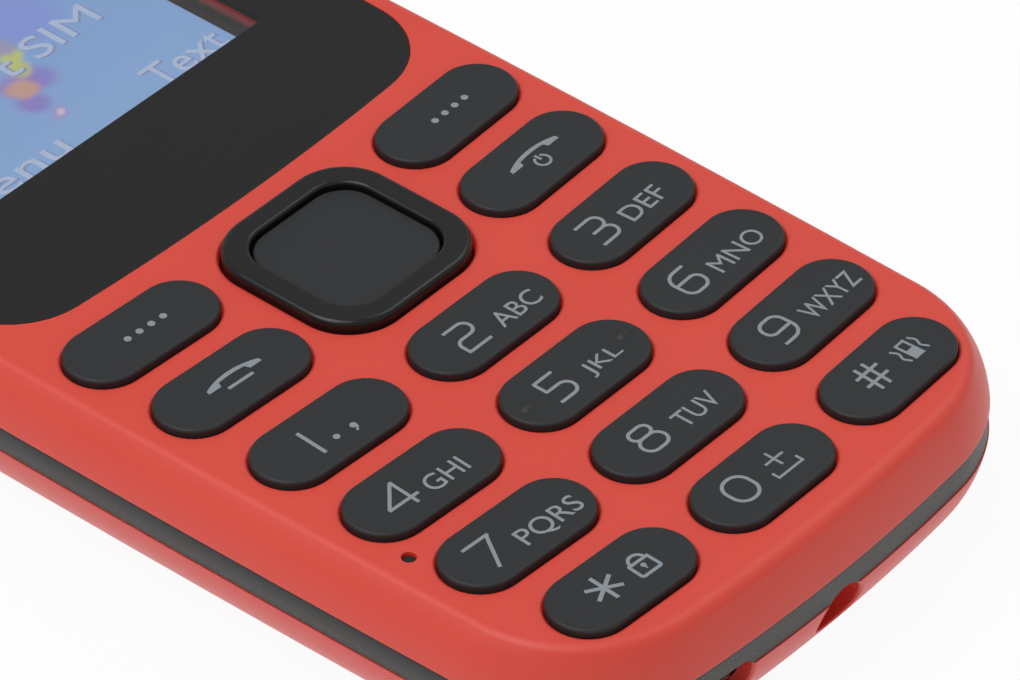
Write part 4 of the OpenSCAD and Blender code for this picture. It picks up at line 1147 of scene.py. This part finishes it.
# %% Words on the screen
# Each word with its place and its size.
WORDS = (("Menu", -7.6, 9.55, 10.6, 2.5), ("Text", 9.9, 9.6, 6.8, 2.6), ("Insert SIM", 0.6, 18.3, 18.0, 2.5))
WORD_SHIFT, WORD_LIFT = 0.14, 0.03


def glowing(name, deep, light):
    """A colour that shines on the display, a little uneven."""
    finish = Finish(name, Roughness=0.4, Emission_Strength=1.0)
    uneven = finish.noise(900.0, detail=2.0)
    finish.set(Base_Color=BLACK, Emission_Color=finish.mix(uneven, deep, light))
    return finish


def screen_words(name, shift, lift, finish):
    made = []
    for words, x, y, width, height in WORDS:
        made.append(place(lettering(words, width, height), x + shift, y - shift, PANEL_TOP_Z + lift))
    return wear(join(name, made), finish, "phone", "display")


word_dark = glowing("word_dark", rgba(112, 128, 172), rgba(124, 136, 176))
word_light = glowing("word_light", rgba(160, 176, 206), rgba(172, 184, 208))
screen_words("word_shadows", WORD_SHIFT, WORD_LIFT, word_dark)
screen_words("words", 0.0, 2 * WORD_LIFT, word_light)
print("words on the screen:", len(WORDS))

# %% Numbers, as the paths of their strokes
DIGITS = {
    "1": [[(0, -1.28), (0, 1.28)], [(0.03, -1.28), (0.03, 1.28)]],
    "2": [
        [(-0.9, 1.2), (0.375, 1.2), (0.375, 0.6, -180), (-0.425, 0), (-0.425, -0.55, 90), (-0.975, -1.3)],
        [(-0.975, -1.2), (1.0, -1.2)]],
    "3": [
        [(-0.95, 1.2), (0.375, 1.2), (0.375, 0.6, -180), (-0.55, 0)],
        [(0.3, 0), (0.375, 0), (0.375, -0.6, -180), (-0.98, -1.2)]],
    "4": [[(0.686, 1.3), (0.686, -1.27)], [(0.66, 1.22), (-1.16, -0.6)], [(-1.2, -0.61), (1.28, -0.61)]],
    "5": [
        [(0.85, 1.2), (-0.87, 1.2)], [(-0.8, 1.2), (-0.8, 0.02)],
        [(-0.8, 0.1), (0.3, 0.1), (0.3, -0.55, -180), (-0.95, -1.2)]],
    "6": [
        [(0.95, 1.2), (0, 1.2), (0, 0.25, 90), (-0.95, -0.5), (-0.25, -0.5, 90), (0.25, -1.2),
         (0.25, -0.5, 90), (0.95, -0.41), (0.4, -0.41, 90), (-0.95, 0.14)]],
    "7": [[(-1.12, 1.2), (1.12, 1.2)], [(0.99, 1.25), (-0.52, -1.43)]],
    "8": [
        [(-0.32, 0.19), (0.32, 0.19), (0.32, -0.485, -180), (-0.32, -1.16), (-0.32, -0.485, -180)],
        [(-0.35, 0.19), (-0.35, 0.675, -180), (0.35, 1.16), (0.35, 0.675, -180)]],
    "9": [
        [(-0.97, -1.2), (0, -1.2), (0, -0.25, 90), (0.95, 0.5), (0.25, 0.5, 90), (-0.25, 1.2),
         (-0.25, 0.5, 90), (-0.95, 0.41), (-0.4, 0.41, 90), (0.95, -0.14)]],
    "0": [
        [(0.995, -0.22), (0.995, 0.22), (0.065, 0.22, 90), (-0.065, 1.15), (-0.065, 0.22, 90),
         (-0.995, -0.22), (-0.065, -0.22, 90), (0.065, -1.15), (0.065, -0.22, 90)]],
    "star": [[(0, -1.2), (0, 1.2)], [(-1.07, -0.61), (1.07, 0.61)], [(-1.07, 0.61), (1.07, -0.61)]],
    "hash": [
        [(-0.5, -1.24), (-0.26, 1.24)], [(0.26, -1.24), (0.5, 1.24)],
        [(-1.09, -0.42), (1.03, -0.42)], [(-1.0, 0.51), (1.14, 0.51)]]}
print("numbers:", len(DIGITS))

# %% Signs
GRIP_SHARE, GRIP_T, EAR_DROP, EAR_OUT, EAR_IN = 0.5, 0.34, 0.32, 0.05, 0.15
LOCK_STROKE, KEYHOLE_R, KEYHOLE_STROKE = 0.25, 0.2, 0.15
PAD_W, PAD_L, PAD_R, PAD_Y = 0.9, 0.95, 0.1, -0.46
WAVE_X, WAVE_W, WAVE_L, WAVE_BENDS, WAVE_STEPS, WAVE_STROKE = 0.95, 0.11, 1.7, 3, 6, 0.18


def handset(half, rise):
    """A telephone handset, arched, with a thicker piece at each end."""
    bow = (half ** 2 + rise ** 2) / (2 * rise)
    sweep = 2 * math.degrees(math.asin(half / bow))
    pen = Pen("handset", half, 0, -INK_T / 2)
    pen.arc(0, rise - bow, sweep, 16)
    grip, grip_low = half * GRIP_SHARE, EAR_DROP / 4
    grip_rise = rise - GRIP_T - grip_low
    grip_bow = (grip ** 2 + grip_rise ** 2) / (2 * grip_rise)
    grip_sweep = 2 * math.degrees(math.asin(grip / grip_bow))
    pen.line(-half - EAR_OUT, -EAR_DROP).line(-grip - EAR_IN, -EAR_DROP).line(-grip, grip_low)
    pen.arc(0, grip_low + grip_rise - grip_bow, -grip_sweep, 12)
    pen.line(grip + EAR_IN, -EAR_DROP).line(half + EAR_OUT, -EAR_DROP)
    return prism(pen.close(), INK_T / 2)


def padlock():
    case = [(-0.82, 0.32), (-0.84, -0.8), (-0.69, -0.8, 90), (0.69, -0.95), (0.69, -0.8, 90), (0.82, 0.32)]
    shackle = [(-0.62, 0.32), (0, 0.34, -180)]
    outline = strokes([case, [(-0.92, 0.32), (0.92, 0.32)], shackle], LOCK_STROKE)
    hole = dot(0, -0.16, KEYHOLE_R)
    slit = place(stroke([(0, -0.16), (0, -0.54)], KEYHOLE_STROKE), z=INK_STEP)
    return join("padlock", [outline, hole, slit])


def shaking_phone():
    """A small phone with a wavy line at each side."""
    case = [[(-0.4, -0.95), (-0.4, 0.95)], [(0.4, -0.95), (0.4, 0.95)], [(-0.5, 0.86), (0.5, 0.86)]]
    keys = prism(rounded("keys", PAD_W, PAD_L, PAD_R, -INK_T / 2, 3), INK_T / 2)
    pieces = [strokes(case, SIGN_STROKE), place(keys, y=PAD_Y)]
    steps = WAVE_BENDS * WAVE_STEPS
    for side in (-1, 1):
        wave = []
        for step in range(steps + 1):
            bend = WAVE_W * math.cos(math.pi * step / WAVE_STEPS)
            wave.append((side * WAVE_X - bend, WAVE_L / 2 - WAVE_L * step / steps))
        pieces.append(stroke(wave, WAVE_STROKE))
    return join("shaking_phone", pieces)


def power_ring():
    ring = [(0.26, 0.5), (0, 0, -305)]
    return strokes([ring, [(0, 0.1), (0, 0.72)]], SIGN_STROKE)


print("signs ready")

# %% Places of the legends
LETTER_H, LETTER_BOLD, TAIL_H = 1.57, 0.005, 0.32
DIGIT_SPOTS = {
    "1": (-1.62, -0.01), "2": (-1.79, -0.02), "3": (-2.47, 0.15), "4": (-2.2, 0.13), "5": (-1.87, 0.01),
    "6": (-2.64, 0.08), "7": (-2.55, 0.05), "8": (-1.95, 0.08), "9": (-2.32, 0.17), "0": (-1.95, 0.25),
    "star": (-1.28, 0.24), "hash": (-1.34, 0.36)}
# The letters of a key, their place and their width.
LETTERS = {
    "2": ("ABC", 2.46, -0.6, 4.02), "3": ("DEF", 1.6, -0.45, 3.85), "4": ("GHI", 1.54, -0.55, 3.37),
    "5": ("JKL", 2.06, -0.61, 3.24), "6": ("MNO", 1.87, -0.55, 4.9), "7": ("PQRS", 2.22, -0.74, 5.3),
    "8": ("TUV", 2.24, -0.43, 3.67), "9": ("WXYZ", 2.46, -0.39, 5.32)}
SOFT_DOTS, SOFT_SPOT, SOFT_PITCH, SOFT_R = 4, (0.47, 0.1), 1.07, 0.27
CALL_ARCH, CALL_SPOT, CALL_BAR_SPOT = (2.33, 0.5), (0.36, 0.31), (0.36, -0.47)
END_ARCH, END_SPOT, POWER_SPOT = (2.45, 0.5), (0.58, 0.45), (0.5, -0.5)
STOP, COMMA_HEAD, COMMA_STROKE = (-0.07, -0.74, 0.25), (1.47, -0.72, 0.26), 0.18
LOCK_SPOT, SHAKE_SPOT, PLUS_SPOT, SPACE_SPOT = (1.98, 0.08), (2.31, 0.03), (1.66, 0.49), (1.63, -0.64)
CALL_BAR = [(-1.12, 0), (1.12, 0)]
COMMA = [(1.66, -0.7), (1.6, -0.98), (1.3, -1.28)]
PLUS = [[(-0.87, 0), (0.87, 0)], [(0, -0.77), (0, 0.77)]]
SPACE = [[(-1.16, 0.28), (-1.16, -0.4)], [(-1.26, -0.32), (1.26, -0.32)], [(1.16, 0.28), (1.16, -0.4)]]
print("keys with letters:", len(LETTERS))

# %% Legends on their keys
ink = Finish("pale_ink", Roughness=0.6)
fade = ink.clouded(5200.0, rgba(122, 131, 138), rgba(144, 153, 160))
ink.set(Roughness=fade * 0.2 + 0.5)
ink.bump(fade, 0.000006)


def legend_parts(name):
    """The prints of one key, in the key's own place."""
    if name.startswith("soft"):
        first = SOFT_SPOT[0] - (SOFT_DOTS - 1) / 2 * SOFT_PITCH
        return [dot(first + index * SOFT_PITCH, SOFT_SPOT[1], SOFT_R) for index in range(SOFT_DOTS)]
    if name == "call":
        arch = place(handset(*CALL_ARCH), *CALL_SPOT)
        return [arch, place(stroke(CALL_BAR, DIGIT_STROKE), *CALL_BAR_SPOT)]
    if name == "end":
        return [place(handset(*END_ARCH), *END_SPOT), place(power_ring(), *POWER_SPOT)]
    paths = [[(x * DIGIT_SIZE, y * DIGIT_SIZE, *turn) for x, y, *turn in path] for path in DIGITS[name]]
    width = STAR_STROKE if name == "star" else DIGIT_STROKE
    parts = [place(strokes(paths, width), *DIGIT_SPOTS[name])]
    if name in LETTERS:
        letters, u, v, wide = LETTERS[name]
        tall = LETTER_H + (TAIL_H if "Q" in letters else 0)
        bold = 0.0 if "M" in letters else LETTER_BOLD
        parts.append(place(lettering(letters, wide, tall, bold), u, v))
    if name == "1":
        tail = stroke(COMMA, COMMA_STROKE)
        parts += [dot(*STOP), dot(*COMMA_HEAD), place(tail, z=INK_STEP)]
    if name == "star":
        parts.append(place(padlock(), *LOCK_SPOT))
    if name == "0":
        parts.append(place(strokes(PLUS, SIGN_STROKE), *PLUS_SPOT))
        parts.append(place(strokes(SPACE, SIGN_STROKE), *SPACE_SPOT))
    if name == "hash":
        parts.append(place(shaking_phone(), *SHAKE_SPOT))
    return parts


for name, side, row in KEYS:
    legend = join("legend_" + name, legend_parts(name))
    x, y, turn = key_place(side, row)
    place(legend, x - KEY_SHIFT, y - KEY_SHIFT, KEY_TOP_Z + INK_LIFT, turn)
    wear(legend, ink, "key_" + name, "key_plastic")
print("legends:", len(KEYS))

# %% [markdown]
# ## What shows inside
# With the cover off, the battery, the screws and the ringer show, and the board and its cans lie under them.
# Their solids are already right, so they keep their shapes and only get finishes: stamped steel with a
# brushed grain, gold-plated springs, green board with fine copper runs, foam, rubber and the battery's wrap.
# The microphone's mesh is the one new piece.

# %% Metals, plastics and rubber
STREAK_SHINE, STAIN_SHINE, PLAIN_GRAIN = 0.2, 0.1, 6000.0


def metal(name, base, light, roughness):
    """Stamped sheet with a grain drawn out along X."""
    finish = Finish(name, Metallic=1.0)
    drawn = finish.node("Mapping", Vector=finish.place, Scale=(500.0, 9000.0, 9000.0))
    grain = finish.noise(1.0, detail=3.0, where=drawn)
    stain = finish.clouded(150.0, base, light, detail=3.0)
    even = roughness - (STREAK_SHINE + STAIN_SHINE) / 2
    finish.set(Roughness=grain * STREAK_SHINE + stain * STAIN_SHINE + even)
    finish.bump(grain, 0.000004)
    return finish


steel = metal("stamped_steel", (0.5, 0.5, 0.49, 1.0), (0.62, 0.61, 0.59, 1.0), 0.35)
gold = metal("plated_gold", (0.72, 0.5, 0.18, 1.0), (0.82, 0.6, 0.26, 1.0), 0.28)
black_plastic = moulded(
    "black_plastic", rgba(26, 26, 28), rgba(34, 34, 36), 0.5, PLAIN_GRAIN, FINE_DEPTH)
white_plastic = moulded(
    "white_plastic", rgba(214, 214, 208), rgba(226, 226, 220), 0.5, PLAIN_GRAIN, FINE_DEPTH)
silicone = moulded("grey_rubber", rgba(150, 150, 146), rgba(166, 166, 161), 0.62, 3000.0, FINE_DEPTH)
foam = moulded("black_foam", rgba(24, 24, 25), rgba(38, 38, 39), 0.9, 4000.0, 0.00008)
print("metals:", steel.material.name, gold.material.name)

# %% Board, film and battery
LABEL, RULES, LABEL_INK = (-16.0, 21.0), ((-18.5, -17.8), (22.8, 23.5)), rgba(52, 60, 74)

board_green = Finish("board_green")
runs = board_green.node(
    "TexBrick", {"offset": 0.35, "squash": 1.0}, output="Fac", Vector=board_green.place, Scale=620.0,
    Mortar_Size=0.06, Mortar_Smooth=0.3, Brick_Width=0.9, Row_Height=0.35)
cloud = board_green.clouded(90.0, rgba(18, 86, 52), rgba(24, 98, 60), detail=3.0)
board_green.tint(runs, rgba(58, 128, 78))
board_green.set(Roughness=cloud * 0.15 + 0.25)
board_green.bump(runs, 0.00002)

amber_film = Finish("amber_film")
lines = amber_film.node(
    "TexWave", {"bands_direction": "X"}, Vector=amber_film.place, Scale=420.0, Distortion=0.0)
cloud = amber_film.clouded(120.0, rgba(176, 104, 34), rgba(192, 120, 44))
amber_film.tint(lines, rgba(150, 84, 26))
amber_film.set(Roughness=cloud * 0.1 + 0.28)

wrap = Finish("battery_wrap", Metallic=0.35)
cloud = wrap.clouded(70.0, rgba(150, 154, 160), rgba(164, 168, 173), detail=3.0)
grain = wrap.noise(7000.0)
along = wrap.axis("Y")
for low, high in (LABEL, *RULES):
    wrap.tint((along > low * MM) * (along < high * MM), LABEL_INK)
wrap.set(Roughness=grain * 0.1 + cloud * 0.1 + 0.28)
wrap.bump(grain, 0.000006)
print("battery wears", wrap.material.name)

# %% Microphone mesh and the dressed solids
MESH_LOW, MESH_TOP, MESH_FIT, MESH_RIM_R = 12.8, 13.22, 0.02, 0.05

mic_mesh = place(prism(disc("mic_mesh", MIC_R - MESH_FIT, MESH_LOW, steps=24), MESH_TOP), *MIC_SPOT)
soften(mic_mesh, MESH_TOP, MESH_RIM_R)
wear(mic_mesh, foam, "phone", "foam")

slot_finishes = {
    "steel": steel, "contact": gold, "black_plastic": black_plastic, "white_plastic": white_plastic,
    "silicone": silicone, "foam": foam, "board": board_green, "flex": amber_film, "battery_case": wrap}
dressed = 0
for entry in frame["record"]["subparts"]:
    if entry["material_slot"] in slot_finishes:
        paint(frame["nodes"][entry["node"]], slot_finishes[entry["material_slot"]])
        dressed += 1
print("solids dressed:", dressed)

# %% [markdown]
# ## The last step
# The selection is cleared at the end.

# %% Clearing the selection
bpy.ops.object.select_all(action="DESELECT")
